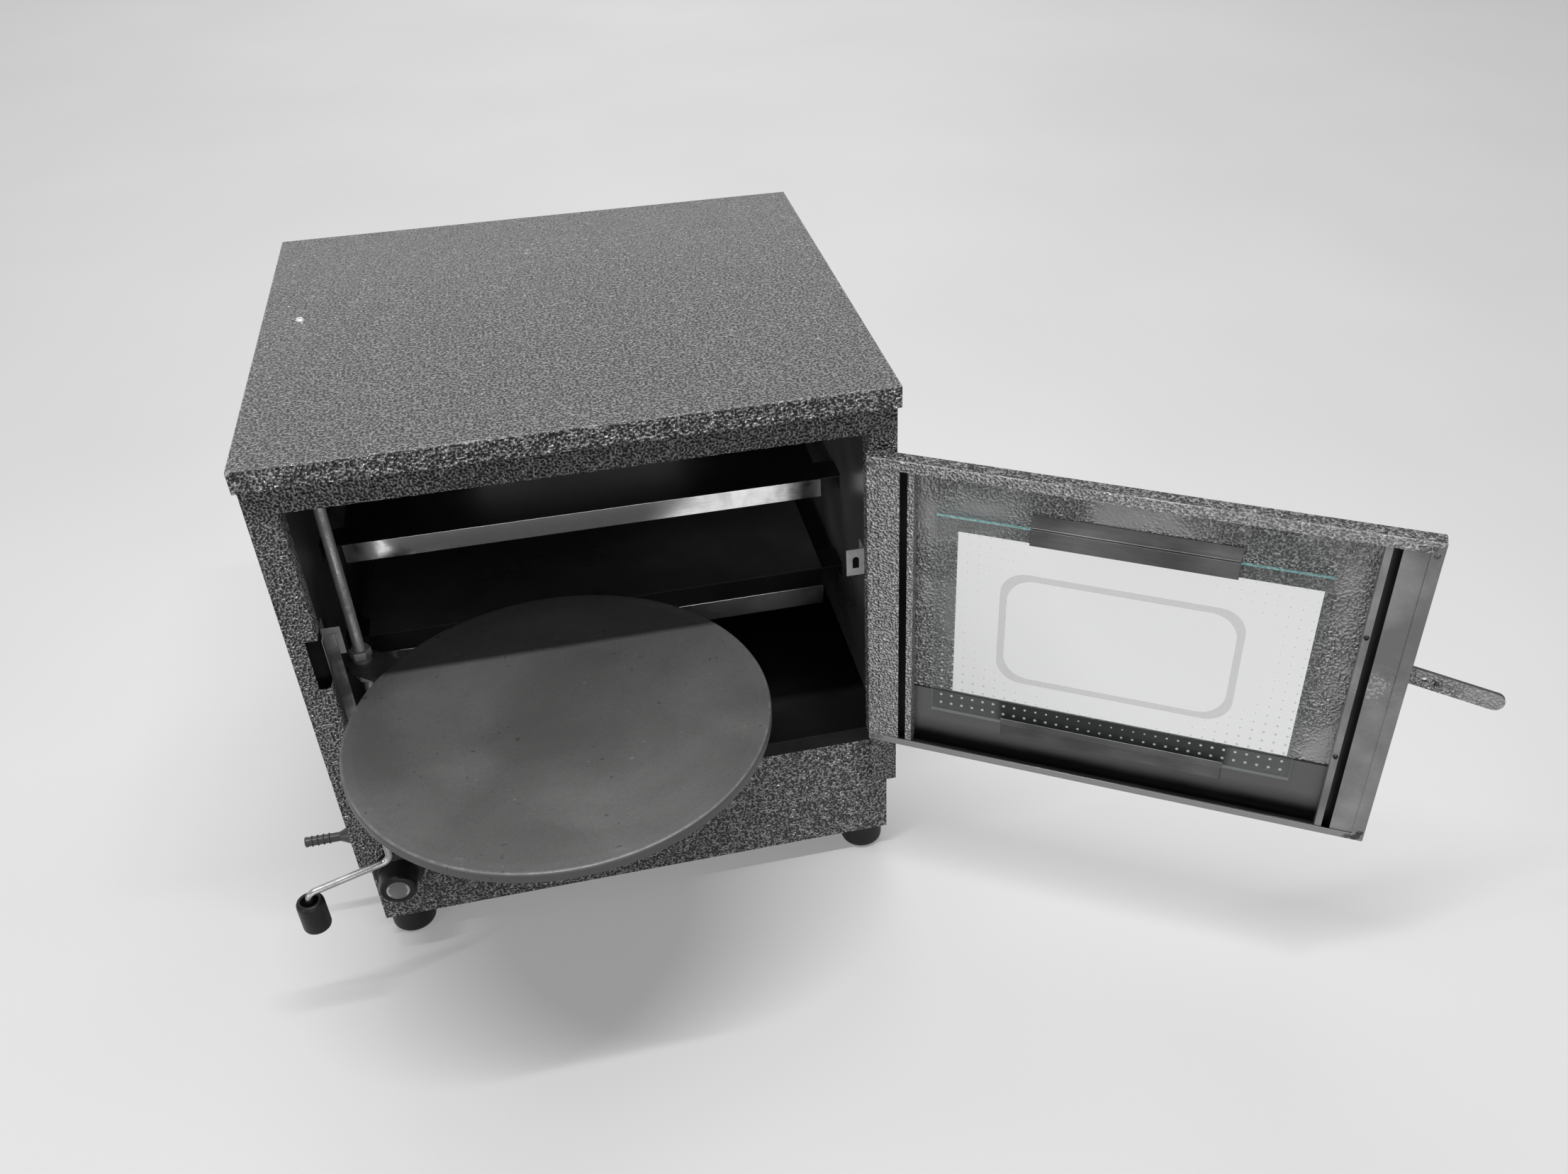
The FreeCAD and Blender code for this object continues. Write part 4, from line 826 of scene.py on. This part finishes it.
def lid_finish(face):
    if face.normal.z > LEVEL:
        return HAMMER_FLAT
    return HAMMER_FOLD_HIGHLIGHT if face.normal.z > SLOPING else HAMMER


def apron_finish(face):
    return BLACK if face.normal.z > SQUARE else HAMMER


def side_finish(face):
    return BLACK if face.normal.y < -SQUARE and face.center.y > BEHIND_FRONT else HAMMER


TWO_TONE = {"lid": lid_finish, "apron": apron_finish,
            "side_panel_left": side_finish, "side_panel_right": side_finish}
for node in CABINET_SHEETS:
    piece = sheet(node, HAMMER, "cabinet", "hammer_paint")
    if node in TWO_TONE:
        dress_faces(piece, TWO_TONE[node])
print(len(CABINET_SHEETS), "painted sheets")

# %% [markdown]
# ## Oven room
# Walls, floor, ceiling, baffle and heat shield are stove black, and their CAD sheets have the right shape, so
# they only take the finish. The baffle becomes a piece, because its front fold is sootier than its top. The
# bright strips along the two shelves and the tabs on the walls catch the eye in the dark, so those get
# rounded edges. The right tab has an arched slot. It is too small to be looked through, so it is a dark arch
# that stands just proud of the tab, its darkness a painted shade.

# %% Oven room
OVEN_SHEETS = {
    "oven_floor": SOOT, "liner_left": LINER, "liner_right": LINER, "liner_back": BLACK, "oven_ceiling": BLACK,
    "heat_shield": BLACK, "baffle_brackets": BLACK, "shield_brackets": BLACK, "post_bracket": BLACK,
    "post_flange": BLACK,
}
for node, finish in OVEN_SHEETS.items():
    recoat(frame["nodes"][node].data, finish)
FRONT_FOLD = -0.7
baffle = sheet("burner_baffle", BAFFLE, "cabinet", "black_enamel", STRIP_FOLD)
dress_faces(baffle, lambda face: SOOT if face.normal.y < FRONT_FOLD else BAFFLE)
BRIGHT = {"baffle_strip": STAINLESS, "shield_strip": STAINLESS, "wall_tab_left": TAB, "wall_tab_right": TAB}
for node, finish in BRIGHT.items():
    sheet(node, finish, "cabinet", "stainless", STRIP_FOLD)
sheet("jamb_strip", DULL, "cabinet", "bare_steel", STRIP_FOLD)
print(len(OVEN_SHEETS) + 1, "black sheets and five strips")

# %% Slot in the right wall tab
SLOT_HALF = 0.0030
SLOT_FOOT = -0.0060
SLOT_SPRING = 0.0030
SLOT_RISE = 0.00015
ARCH_STEPS = 12
arch = [(SLOT_HALF * math.cos(turn), SLOT_SPRING + SLOT_HALF * math.sin(turn))
        for turn in [math.pi * n / ARCH_STEPS for n in range(ARCH_STEPS + 1)]]
arch += [(-SLOT_HALF, SLOT_FOOT), (SLOT_HALF, SLOT_FOOT)]
low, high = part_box("wall_tab_right")
middle = (low + high) / 2
mesh = bpy.data.meshes.new("tab_slot")
mesh.from_pydata([(middle.x + x, low.y - SLOT_RISE, middle.z + z) for x, z in arch], [], [range(len(arch))])
# The slot's darkness is painted shade.
mesh.materials.append(SOOT)
settle(placed("tab_slot", mesh), "cabinet", "stainless")
print("a tab slot of", len(arch), "points, facing", [round(v) for v in mesh.polygons[0].normal])

# %% [markdown]
# ## Door
# The door is a folded pan with a lipped channel down each side, a plain lower panel and a pane of glass held
# by a clip above and a rail below. It stands open, so its inside faces us. The pan's lips wear the hammer
# paint, but the one along the free side is smooth and the one along the foot is rubbed. The channels'
# insides and the inner face of the pan's foot are painted black: painted shade.

# %% Door pan, panel and stiles
LIP_DEPTH = -0.0162
FREE_SIDE = 0.400
CHANNEL_DEPTH = -0.012
FOOT_LIP = 0.176
LOOKS_IN = 0.3


def pan_finish(face):
    spot = TO_DOOR @ face.center
    if face.normal.dot(INSIDE) < LOOKS_IN:
        # The inner face of the pan's foot is painted black: painted shade.
        return BLACK if face.normal.z > SQUARE and spot.z < FOOT_LIP else HAMMER
    if spot.y > (CHANNEL_DEPTH if spot.z < FOOT_LIP else LIP_DEPTH):
        return SKIN
    return SATIN if spot.x > FREE_SIDE else HAMMER_PALE


def stile_finish(face, finish, outward):
    # The channels' insides are painted black: painted shade.
    deep = (TO_DOOR @ face.center).y > CHANNEL_DEPTH
    return BLACK if deep and max(face.normal.dot(INSIDE), face.normal.dot(outward)) > SQUARE else finish


pan = sheet("door_pan", HAMMER, "door", "hammer_paint")
dress_faces(pan, pan_finish)
sheet("door_lower_panel", PANEL, "door", "hammer_paint", STILE_FOLD)
STILES = (("door_stile_hinge", HAMMER_PALE, -DOOR_WAY), ("door_stile_free", SATIN, DOOR_WAY))
for node, finish, outward in STILES:
    stile = sheet(node, finish, "door", "hammer_paint", STILE_FOLD)
    dress_faces(stile, lambda face: stile_finish(face, finish, outward))
print("pan has", len(pan.data.polygons), "faces")

# %% Glass holders, latch and hinges
EDGE_ON = 0.5
for node in ("glass_clip", "glass_rail"):
    sheet(node, GALVANISED, "door", "stainless", SMALL_FOLD)
sheet("latch_pivot", BARE, "door", "bare_steel", SMALL_FOLD)
lever = sheet("latch_lever", SKIN, "latch", "hammer_paint", STILE_FOLD)
# The lever's edges are painted black: painted shade on its sides.
dress_faces(lever, lambda face: BLACK if abs(face.normal.dot(INSIDE)) < EDGE_ON else SKIN)
sheet("hinge_leaves_door", HAMMER, "door", "hammer_paint", STRIP_FOLD)
sheet("hinge_leaves_cabinet", HAMMER, "cabinet", "hammer_paint", STRIP_FOLD)
print("lever has", len(lever.data.polygons), "faces")

# %% [markdown]
# ## Repeats with Geometry Nodes
# Threads, screws, ribs, flame ports, weld beads and printed dots all repeat one small shape. Geometry Nodes
# suit that: a tree has named inputs for its sizes, so one tree serves every screw on the oven. Each tree
# ends in real geometry with a material, and the result is kept as a plain mesh.

# %% Trees and their nodes
SOCKETS = {float: "NodeSocketFloat", int: "NodeSocketInt"}


def tree_of(name, **inputs):
    """A new tree with named inputs. It returns the tree and the sockets that carry its inputs."""
    tree = bpy.data.node_groups.new(name, "GeometryNodeTree")
    tree.interface.new_socket("Geometry", in_out="OUTPUT", socket_type="NodeSocketGeometry")
    tree.interface.new_socket("Geometry", in_out="INPUT", socket_type="NodeSocketGeometry")
    for label, value in inputs.items():
        made = tree.interface.new_socket(label, in_out="INPUT", socket_type=SOCKETS[type(value)])
        made.default_value = value
    start = tree.nodes.new("NodeGroupInput")
    return tree, {socket.name: socket for socket in start.outputs if socket.name}


def step(tree, kind, settings=None, sockets=None):
    """Add a node, set its options, fill its sockets and return it."""
    made = tree.nodes.new(kind)
    for key, value in (settings or {}).items():
        setattr(made, key, value)
    for key, value in (sockets or {}).items():
        if isinstance(value, bpy.types.Node):
            tree.links.new(value.outputs[0], made.inputs[key])
        elif isinstance(value, bpy.types.NodeSocket):
            tree.links.new(value, made.inputs[key])
        else:
            made.inputs[key].default_value = value
    return made


print("tree helpers ready")

# %% Steps that several trees share
def calc(tree, operation, first, second):
    """A Math node on two numbers."""
    return step(tree, "ShaderNodeMath", {"operation": operation}, {0: first, 1: second})


def vector_of(tree, **parts):
    """A vector from its X, Y and Z. A part left out is 0."""
    return step(tree, "ShaderNodeCombineXYZ", None, parts)


def joined(tree, *shapes):
    """Several shapes as one geometry."""
    both = step(tree, "GeometryNodeJoinGeometry")
    for shape in shapes:
        tree.links.new(shape.outputs[0], both.inputs[0])
    return both


def tube(tree, path, wire, caps=False):
    """A round wire drawn along a path."""
    profile = step(tree, "GeometryNodeCurvePrimitiveCircle", None, wire)
    return step(tree, "GeometryNodeCurveToMesh", None, {
        "Curve": path, "Profile Curve": profile, "Fill Caps": caps})


def facing_turn(tree):
    """The rotation that turns Z to the direction that a seat faces."""
    way = step(tree, "GeometryNodeInputNamedAttribute", {"data_type": "FLOAT_VECTOR"}, {"Name": "facing"})
    return step(tree, "FunctionNodeAlignRotationToVector", {"axis": "Z"}, {"Vector": way})


print("shared steps ready")

# %% Closing and running a tree
def close_tree(tree, geometry, finish, smooth=False):
    """End a tree in real geometry with a finish."""
    if smooth:
        geometry = step(tree, "GeometryNodeSetShadeSmooth", None, {0: geometry})
    real = step(tree, "GeometryNodeRealizeInstances", None, {0: geometry})
    dressed = step(tree, "GeometryNodeSetMaterial", None, {"Geometry": real, "Material": finish})
    step(tree, "NodeGroupOutput", None, {0: dressed})


def grown(name, tree, mesh=None, **sizes):
    """Run a tree on a mesh and keep the result as a plain piece."""
    piece = placed(name, mesh or bpy.data.meshes.new(name))
    grow = piece.modifiers.new("grow", "NODES")
    grow.node_group = tree
    for item in tree.interface.items_tree:
        if item.in_out == "INPUT" and item.name in sizes:
            grow[item.identifier] = sizes[item.name]
    applied(piece)
    print(name, len(piece.data.polygons), "faces")
    return piece


def seats(name, places, facings):
    """A mesh of loose points, each with the direction that it faces."""
    mesh = bpy.data.meshes.new(name)
    mesh.from_pydata([tuple(place) for place in places], [], [])
    facing = mesh.attributes.new("facing", "FLOAT_VECTOR", "POINT")
    for item, way in zip(facing.data, facings):
        item.vector = way
    return mesh


print("trees can be closed and run")

# %% [markdown]
# ## Screws
# A cross-slotted pan head is a low cone with two crossed bars cut out of it. The seats are read from the CAD
# heads: each loose lump of a node's mesh is one screw. A seeded turn keeps the slots from lining up.

# %% Screw tree
HEAD_RADIUS = 0.0035
DOOR_HEAD_RADIUS = 0.0022
HEAD_RISE = 0.0016
HEAD_CROWN = 0.72
SLOT_REACH = 1.25
tree, size = tree_of("screw_heads", Radius=HEAD_RADIUS, Rise=HEAD_RISE, Slot=0.0011, Seed=4)
head = step(tree, "GeometryNodeMeshCone", None, {
    "Vertices": 28, "Side Segments": 3, "Radius Bottom": size["Radius"], "Depth": size["Rise"],
    "Radius Top": calc(tree, "MULTIPLY", size["Radius"], HEAD_CROWN)})
cut = step(tree, "GeometryNodeMeshBoolean", {"operation": "DIFFERENCE"}, {0: head})
reach = calc(tree, "MULTIPLY", size["Radius"], SLOT_REACH)
lift = vector_of(tree, Z=size["Rise"])
for long, wide in ((reach, size["Slot"]), (size["Slot"], reach)):
    bar = step(tree, "GeometryNodeMeshCube", None, {"Size": vector_of(tree, X=long, Y=wide, Z=size["Rise"])})
    raised = step(tree, "GeometryNodeTransform", None, {"Geometry": bar, "Translation": lift})
    tree.links.new(raised.outputs[0], cut.inputs[1])
heads = step(tree, "GeometryNodeInstanceOnPoints", None, {
    "Points": size["Geometry"], "Instance": cut, "Rotation": facing_turn(tree)})
spin = step(tree, "FunctionNodeRandomValue", {"data_type": "FLOAT_VECTOR"}, {
    0: (0, 0, 0), 1: (0, 0, math.pi), "Seed": size["Seed"]})
turned = step(tree, "GeometryNodeRotateInstances", None, {"Instances": heads, "Rotation": spin})
close_tree(tree, turned, ZINC)
SCREWS = tree
print("screw tree of", len(SCREWS.nodes), "nodes")

# %% Screws in their seats
def lumps_of(node):
    """The middle of each loose lump of a CAD node, in the order of the mesh, so that each run is the same."""
    surface = merged(node)
    seen = set()
    middles = []
    for first in surface.verts:
        if first in seen:
            continue
        seen.add(first)
        found = [first]
        for vert in found:
            near = [edge.other_vert(vert) for edge in vert.link_edges]
            fresh = [other for other in near if other not in seen]
            seen.update(fresh)
            found.extend(fresh)
        middles.append(sum((vert.co for vert in found), Vector()) / len(found))
    surface.free()
    return middles


def screw_set(name, body, node, facing, radius=HEAD_RADIUS):
    """Heads in the place of a node's plain ones, all facing one way."""
    facing = Vector(facing)
    places = [middle - facing * HEAD_RISE / 2 for middle in lumps_of(node)]
    mesh = seats(name, places, [facing] * len(places))
    return settle(grown(name, SCREWS, mesh, Radius=radius), body, "bare_steel", node)


screw_set("lid_screw_head", "cabinet", "lid_screw", (0, 0, 1))
screw_set("back_screw_heads", "cabinet", "back_screws", (0, 1, 0))
door_heads = screw_set("door_screw_heads", "door", "door_screws", INSIDE, DOOR_HEAD_RADIUS)
recoat(door_heads.data, BLACK)

# %% [markdown]
# ## Threaded post
# The plate swings on a threaded rod. A helix of round wire half sunk in a core reads as a thread at any
# distance and needs no boolean. The spiral node has a rotation count, so the pitch decides how many turns
# the post has.

# %% Threaded post
POST_LOW, POST_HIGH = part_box("swing_post")
POST_AXIS = (POST_LOW + POST_HIGH) / 2
POST_RADIUS = (POST_HIGH.x - POST_LOW.x) / 2
POST_LENGTH = POST_HIGH.z - POST_LOW.z
THREAD_PITCH = 0.0015
RIDGE = 0.00074
tree, size = tree_of("post_thread", Radius=0.005, Length=0.3, Pitch=THREAD_PITCH, Ridge=RIDGE)
turns = calc(tree, "DIVIDE", size["Length"], size["Pitch"])
mean = calc(tree, "SUBTRACT", size["Radius"], size["Ridge"])
helix = step(tree, "GeometryNodeCurveSpiral", None, {
    "Resolution": 22, "Rotations": turns, "Start Radius": mean, "End Radius": mean, "Height": size["Length"]})
ridge = tube(tree, helix, {"Resolution": 6, "Radius": size["Ridge"]}, caps=True)
core = step(tree, "GeometryNodeMeshCylinder", None, {
    "Vertices": 32, "Side Segments": 1, "Radius": mean, "Depth": size["Length"]})
lift = vector_of(tree, Z=calc(tree, "MULTIPLY", size["Length"], 0.5))
raised = step(tree, "GeometryNodeTransform", None, {"Geometry": core, "Translation": lift})
close_tree(tree, joined(tree, ridge, raised), BARE, smooth=True)
post = grown("threaded_post", tree, Radius=POST_RADIUS, Length=POST_LENGTH - 2 * RIDGE)
post.data.transform(Matrix.Translation((POST_AXIS.x, POST_AXIS.y, POST_LOW.z + RIDGE)))
settle(post, "cabinet", "bare_steel", "swing_post")
sheet("post_nuts", BARE, "cabinet", "bare_steel", BAR_FOLD)

# %% [markdown]
# ## Gas spigot
# The hose goes over a ribbed spigot. The tube and its collar are turned, and a line of rings makes the ribs.
# It has a thin dark coat, far smoother than the panel around it, so it wears the oven's black.

# %% Gas spigot
INLET_LOW, INLET_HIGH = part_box("gas_inlet")
INLET_AXIS = (INLET_LOW + INLET_HIGH) / 2
FIRST_RIB = 0.006
SPIGOT = [(3.0, 0.0), (4.2, 0.0), (4.7, 0.5), (4.7, 2.2), (4.2, 3.0), (4.2, 30.0), (5.0, 32.0), (6.4, 35.0),
          (7.6, 37.5), (8.6, 40.0), (9.0, 41.4), (9.0, 44.0), (5.0, 44.0), (5.0, 64.0), (3.0, 64.0),
          (3.0, 0.0)]
spigot = lathe("gas_spigot", SPIGOT, (INLET_LOW.x, INLET_AXIS.y, INLET_AXIS.z), (1, 0, 0), BLACK, steps=64)
tree, size = tree_of("spigot_ribs", Count=4, Spacing=0.005, Radius=0.0042, Rib=0.0008)
gap = vector_of(tree, X=size["Spacing"])
line = step(tree, "GeometryNodeMeshLine", None, {"Count": size["Count"], "Offset": gap})
hoop = step(tree, "GeometryNodeCurvePrimitiveCircle", None, {"Resolution": 40, "Radius": size["Radius"]})
ring = tube(tree, hoop, {"Resolution": 8, "Radius": size["Rib"]})
stood = step(tree, "GeometryNodeTransform", None, {"Geometry": ring, "Rotation": (0, math.pi / 2, 0)})
ribs = step(tree, "GeometryNodeInstanceOnPoints", None, {"Points": line, "Instance": stood})
close_tree(tree, ribs, BLACK, smooth=True)
ribbing = grown("spigot_ribs", tree)
ribbing.data.transform(Matrix.Translation((INLET_LOW.x + FIRST_RIB, INLET_AXIS.y, INLET_AXIS.z)))
settle(spigot, "cabinet", "hammer_paint", "gas_inlet")
settle(ribbing, "cabinet", "hammer_paint")

# %% [markdown]
# ## Burner
# The ring burner lies under the floor's opening. Its flame ports are small dark holes along the crest of the
# ring, set out on a circle. Each is a shallow dark disc, a painted shade, because a real hole that small
# can't be seen into.

# %% Burner ports
RING_AT = Vector((0, 0.100, 0.095))
RING_TUBE = Vector((0, 0, 0.012))
tree, size = tree_of("flame_ports", Count=44, Ring=0.090, Port=0.0014, Depth=0.0006)
circle = step(tree, "GeometryNodeMeshCircle", None, {"Vertices": size["Count"], "Radius": size["Ring"]})
port = step(tree, "GeometryNodeMeshCylinder", None, {
    "Vertices": 12, "Radius": size["Port"], "Depth": size["Depth"]})
ports = step(tree, "GeometryNodeInstanceOnPoints", None, {"Points": circle, "Instance": port})
# Black discs: painted shade for the holes.
close_tree(tree, ports, BLACK)
flame_ports = grown("flame_ports", tree)
flame_ports.data.transform(Matrix.Translation(RING_AT + RING_TUBE))
settle(flame_ports, "cabinet", "burner_iron")
print("ports on a ring at", tuple(RING_AT))

# %% [markdown]
# ## Weld beads
# The door's corners are tacked with small weld beads, left rough. Each is a flattened ball, pushed about by
# noise after it stands in its place, so that no two are alike.

# %% Weld beads
# Each bead has its place on the door in millimetres: along it from the hinge, and up from the ground.
BEADS = [(7.5, 167.5), (13.0, 169.0), (6.0, 451.0), (424.5, 167.0), (418.0, 166.5), (427.0, 172.0),
         (423.5, 452.0), (417.0, 450.0), (426.0, 446.0)]
RIM_DEPTH = -0.0166
tree, size = tree_of("weld_beads", Radius=0.0030, Rough=0.0020, Seed=11)
ball = step(tree, "GeometryNodeMeshIcoSphere", None, {"Radius": size["Radius"], "Subdivisions": 3})
squat = step(tree, "GeometryNodeTransform", None, {"Geometry": ball, "Scale": (1.0, 1.0, 0.42)})
grade = step(tree, "FunctionNodeRandomValue", {"data_type": "FLOAT_VECTOR"}, {
    0: (0.7, 0.6, 0.8), 1: (1.6, 1.1, 1.1), "Seed": size["Seed"]})
beads = step(tree, "GeometryNodeInstanceOnPoints", None, {
    "Points": size["Geometry"], "Instance": squat, "Rotation": facing_turn(tree), "Scale": grade})
real = step(tree, "GeometryNodeRealizeInstances", None, {0: beads})
shake = step(tree, "ShaderNodeTexNoise", {"noise_dimensions": "3D"}, {"Scale": 420.0, "Detail": 2.0})
centred = step(tree, "ShaderNodeVectorMath", {"operation": "SUBTRACT"}, {
    0: shake.outputs["Color"], 1: (0.5, 0.5, 0.5)})
push = step(tree, "ShaderNodeVectorMath", {"operation": "SCALE"}, {0: centred, "Scale": size["Rough"]})
rough = step(tree, "GeometryNodeSetPosition", None, {"Geometry": real, "Offset": push})
close_tree(tree, rough, DULL, smooth=True)
spots = [DOOR @ Vector((x / 1000, RIM_DEPTH, z / 1000)) for x, z in BEADS]
welds = grown("weld_beads", tree, seats("weld_beads", spots, [INSIDE] * len(spots)))
settle(welds, "door", "bare_steel")

# %% [markdown]
# ## Glass and its print
# The pane keeps its CAD size with ground edges. A plain grid of white dots and a frosted band with rounded
# corners are printed on it. The dots shrink towards the middle and the top, so one tree takes each dot's
# size from its place on the grid. The band is one rounded rectangle filled outside a smaller one.

# %% Glass pane
TOP_EDGE = 0.5
pane = sheet("door_glass", CLEAR, "door", "glass", SMALL_FOLD)
dress_faces(pane, lambda face: EDGE if face.normal.z > TOP_EDGE else CLEAR)
PANE_LOW, PANE_HIGH = door_box("door_glass")
PANE_MIDDLE = (PANE_LOW + PANE_HIGH) / 2
PANE_BACK = PANE_HIGH.y
PRINT_RISE = 0.00012
print("pane middle", [round(v, 5) for v in PANE_MIDDLE])

# %% Dots
DOTS_FROM = 0.34
DOTS_FULL = 0.54
TOP_DOT = 0.30
tree, size = tree_of("glass_dots", Width=0.29, Height=0.188, Columns=32, Rows=22, Dot=0.0013)
grid = step(tree, "GeometryNodeMeshGrid", None, {
    "Size X": size["Width"], "Size Y": size["Height"],
    "Vertices X": size["Columns"], "Vertices Y": size["Rows"]})
where = step(tree, "GeometryNodeInputPosition")
whole = vector_of(tree, X=size["Width"], Y=size["Height"], Z=1.0)
spread = step(tree, "ShaderNodeVectorMath", {"operation": "DIVIDE"}, {0: where, 1: whole})
away = step(tree, "ShaderNodeVectorMath", {"operation": "LENGTH"}, {0: spread})
grade = step(tree, "ShaderNodeMapRange", None, {
    0: away.outputs["Value"], 1: DOTS_FROM, 2: DOTS_FULL, 3: 0.0, 4: 1.0})
apart = step(tree, "ShaderNodeSeparateXYZ", None, {0: spread})
fade = step(tree, "ShaderNodeMapRange", None, {
    0: apart.outputs["Y"], 1: -0.5, 2: 0.5, 3: 1.0, 4: TOP_DOT})
graded = calc(tree, "MULTIPLY", grade, fade)
dot = step(tree, "GeometryNodeMeshCircle", {"fill_type": "NGON"}, {"Vertices": 12, "Radius": size["Dot"]})
dots = step(tree, "GeometryNodeInstanceOnPoints", None, {"Points": grid, "Instance": dot, "Scale": graded})
close_tree(tree, dots, DOT_INK)
glass_dots = grown("glass_dots", tree)

# %% Band
tree, size = tree_of("glass_band", Width=0.196, Height=0.112, Band=0.006, Corner=0.022)
rims = []
for cut_in in (0.0, 2.0):
    inset = calc(tree, "MULTIPLY", size["Band"], cut_in)
    wide = calc(tree, "SUBTRACT", size["Width"], inset)
    tall = calc(tree, "SUBTRACT", size["Height"], inset)
    corners = step(tree, "GeometryNodeCurvePrimitiveQuadrilateral", None, {"Width": wide, "Height": tall})
    rims.append(step(tree, "GeometryNodeFilletCurve", {"mode": "POLY"}, {
        "Curve": corners, "Count": 10, "Radius": size["Corner"]}))
filled = step(tree, "GeometryNodeFillCurve", {"mode": "TRIANGLES"}, {0: joined(tree, *rims)})
close_tree(tree, filled, FROST)
glass_band = grown("glass_band", tree)

# %% Print on the pane
upright = Matrix.Rotation(math.pi / 2, 4, "X")
for piece, side in ((glass_dots, PANE_BACK - PRINT_RISE), (glass_band, PANE_BACK - 2 * PRINT_RISE)):
    stand = Matrix.Translation((PANE_MIDDLE.x, side, PANE_MIDDLE.z)) @ upright
    piece.data.transform(DOOR @ stand)
    settle(piece, "door", "glass")
print("print stands", PRINT_RISE * 1000, "mm from the pane's back")

# %% [markdown]
# ## Baking plate, knob and grip
# These three are round, so each is a profile on the lathe. The profiles are in millimetres from the foot of
# the axis. Small steps at the corners keep the edges soft without a modifier.

# %% Baking plate
PLATE_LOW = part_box("baking_plate")[0].z
PLATE = [(0, 8.7), (6.05, 8.7), (6.05, 0.0), (17.6, 0.0), (18.0, 0.4), (18.0, 2.3), (18.5, 2.7), (60, 2.7),
         (120, 2.7), (172.6, 2.7), (173.3, 3.0), (173.7, 3.6), (173.7, 9.6), (173.45, 10.5), (172.9, 11.2),
         (172.0, 11.65), (170.6, 11.7), (120, 11.7), (60, 11.7), (0, 11.7)]
plate = lathe("iron_plate", PLATE, (PLATE_AT.x, PLATE_AT.y, PLATE_LOW), (0, 0, 1), IRON, steps=240)
settle(plate, "baking_plate", "plate_iron", "baking_plate")
print("plate faces", len(plate.data.polygons))

# %% Knob and dial
KNOB_AT = Vector(JOINTS["knob_turn"]["pos_m"])
DIAL_HEIGHT = 27.55
KNOB = [(4.1, 0.0), (20.8, 0.0), (21.6, 0.3), (22.0, 1.0), (22.0, 3.8), (21.5, 4.7), (20.2, 5.2), (18.3, 5.6),
        (17.4, 6.4), (17.0, 7.6), (16.0, 24.0), (15.7, 26.2), (15.2, 27.3), (14.3, 27.9), (13.3, 28.0),
        (12.7, 27.8), (12.4, 27.2), (0, 27.2)]
knob = lathe("knob_body", KNOB, KNOB_AT, (0, -1, 0), PLASTIC)
DIAL_PROFILE = [(0, DIAL_HEIGHT), (9.8, DIAL_HEIGHT), (10.2, 27.35), (10.2, 27.1)]
dial = lathe("knob_dial", DIAL_PROFILE, KNOB_AT, (0, -1, 0), DIAL, steps=72)
settle(knob, "gas_knob", "black_plastic", "gas_knob")
settle(dial, "gas_knob", "bare_steel")
print("knob faces", len(knob.data.polygons), "dial faces", len(dial.data.polygons))

# %% Arcs on the dial
tree, size = tree_of("dial_arcs", Radius=0.0088, Wire=0.0009, Sweep=1.35)
arcs = []
for start in (2.4, 5.5):
    arc = step(tree, "GeometryNodeCurveArc", None, {
        "Resolution": 28, "Radius": size["Radius"], "Start Angle": start, "Sweep Angle": size["Sweep"]})
    arcs.append(tube(tree, arc, {"Resolution": 8, "Radius": size["Wire"]}, caps=True))
flat = step(tree, "GeometryNodeTransform", None, {"Geometry": joined(tree, *arcs), "Scale": (1, 1, 0.3)})
close_tree(tree, flat, MARK, smooth=True)
dial_arcs = grown("dial_arcs", tree)
dial_arcs.data.transform(Matrix.Translation(KNOB_AT + Vector((0, -DIAL_HEIGHT / 1000, 0))) @ upright)
settle(dial_arcs, "gas_knob", "bare_steel")

# %% Handle grip
GRIP_LOW, GRIP_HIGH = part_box("handle_grip")
GRIP_AXIS = (GRIP_LOW + GRIP_HIGH) / 2
GRIP = [(0, 0.0), (8.4, 0.0), (10.0, 0.5), (11.0, 1.5), (11.5, 3.2), (11.5, 26.4), (11.2, 28.6), (10.4, 30.2),
        (9.2, 31.0), (7.9, 31.0), (7.2, 30.6), (6.9, 29.6), (6.6, 25.0), (3.05, 25.0), (3.05, 7.75),
        (0, 7.75)]
grip = lathe("grip_barrel", GRIP, (GRIP_AXIS.x, GRIP_AXIS.y, GRIP_LOW.z), (0, 0, 1), PLASTIC, steps=72)
settle(grip, "swing_arm", "black_plastic", "handle_grip")
print("grip", round(GRIP_HIGH.z - GRIP_LOW.z, 4), "m tall")

# %% [markdown]
# ## Swing arm and the rest
# What is left has its right shape in CAD already: the arm and its bush, the handle rod, pins, feet, burner,
# valve, pipe and jet. The arm gets rounded edges, and the others only take their finish.

# %% Arm and remaining nodes
sheet("swing_arm", BAFFLE, "swing_arm", "black_enamel", BAR_FOLD)
PLAIN = {
    "arm_bush": BARE, "plate_pin": BARE, "handle_rod": ROD, "hinge_pins": BARE, "valve_stem": BRASS,
    "ring_burner": CAST, "burner_bars": CAST, "gas_valve": BRASS, "gas_pipe": PIPE, "gas_jet": BRASS,
    "foot_front_left": RUBBER, "foot_front_right": RUBBER,
    "foot_back_left": RUBBER, "foot_back_right": RUBBER,
}
for node, finish in PLAIN.items():
    recoat(frame["nodes"][node].data, finish)
print(len(PLAIN), "CAD nodes take a finish")
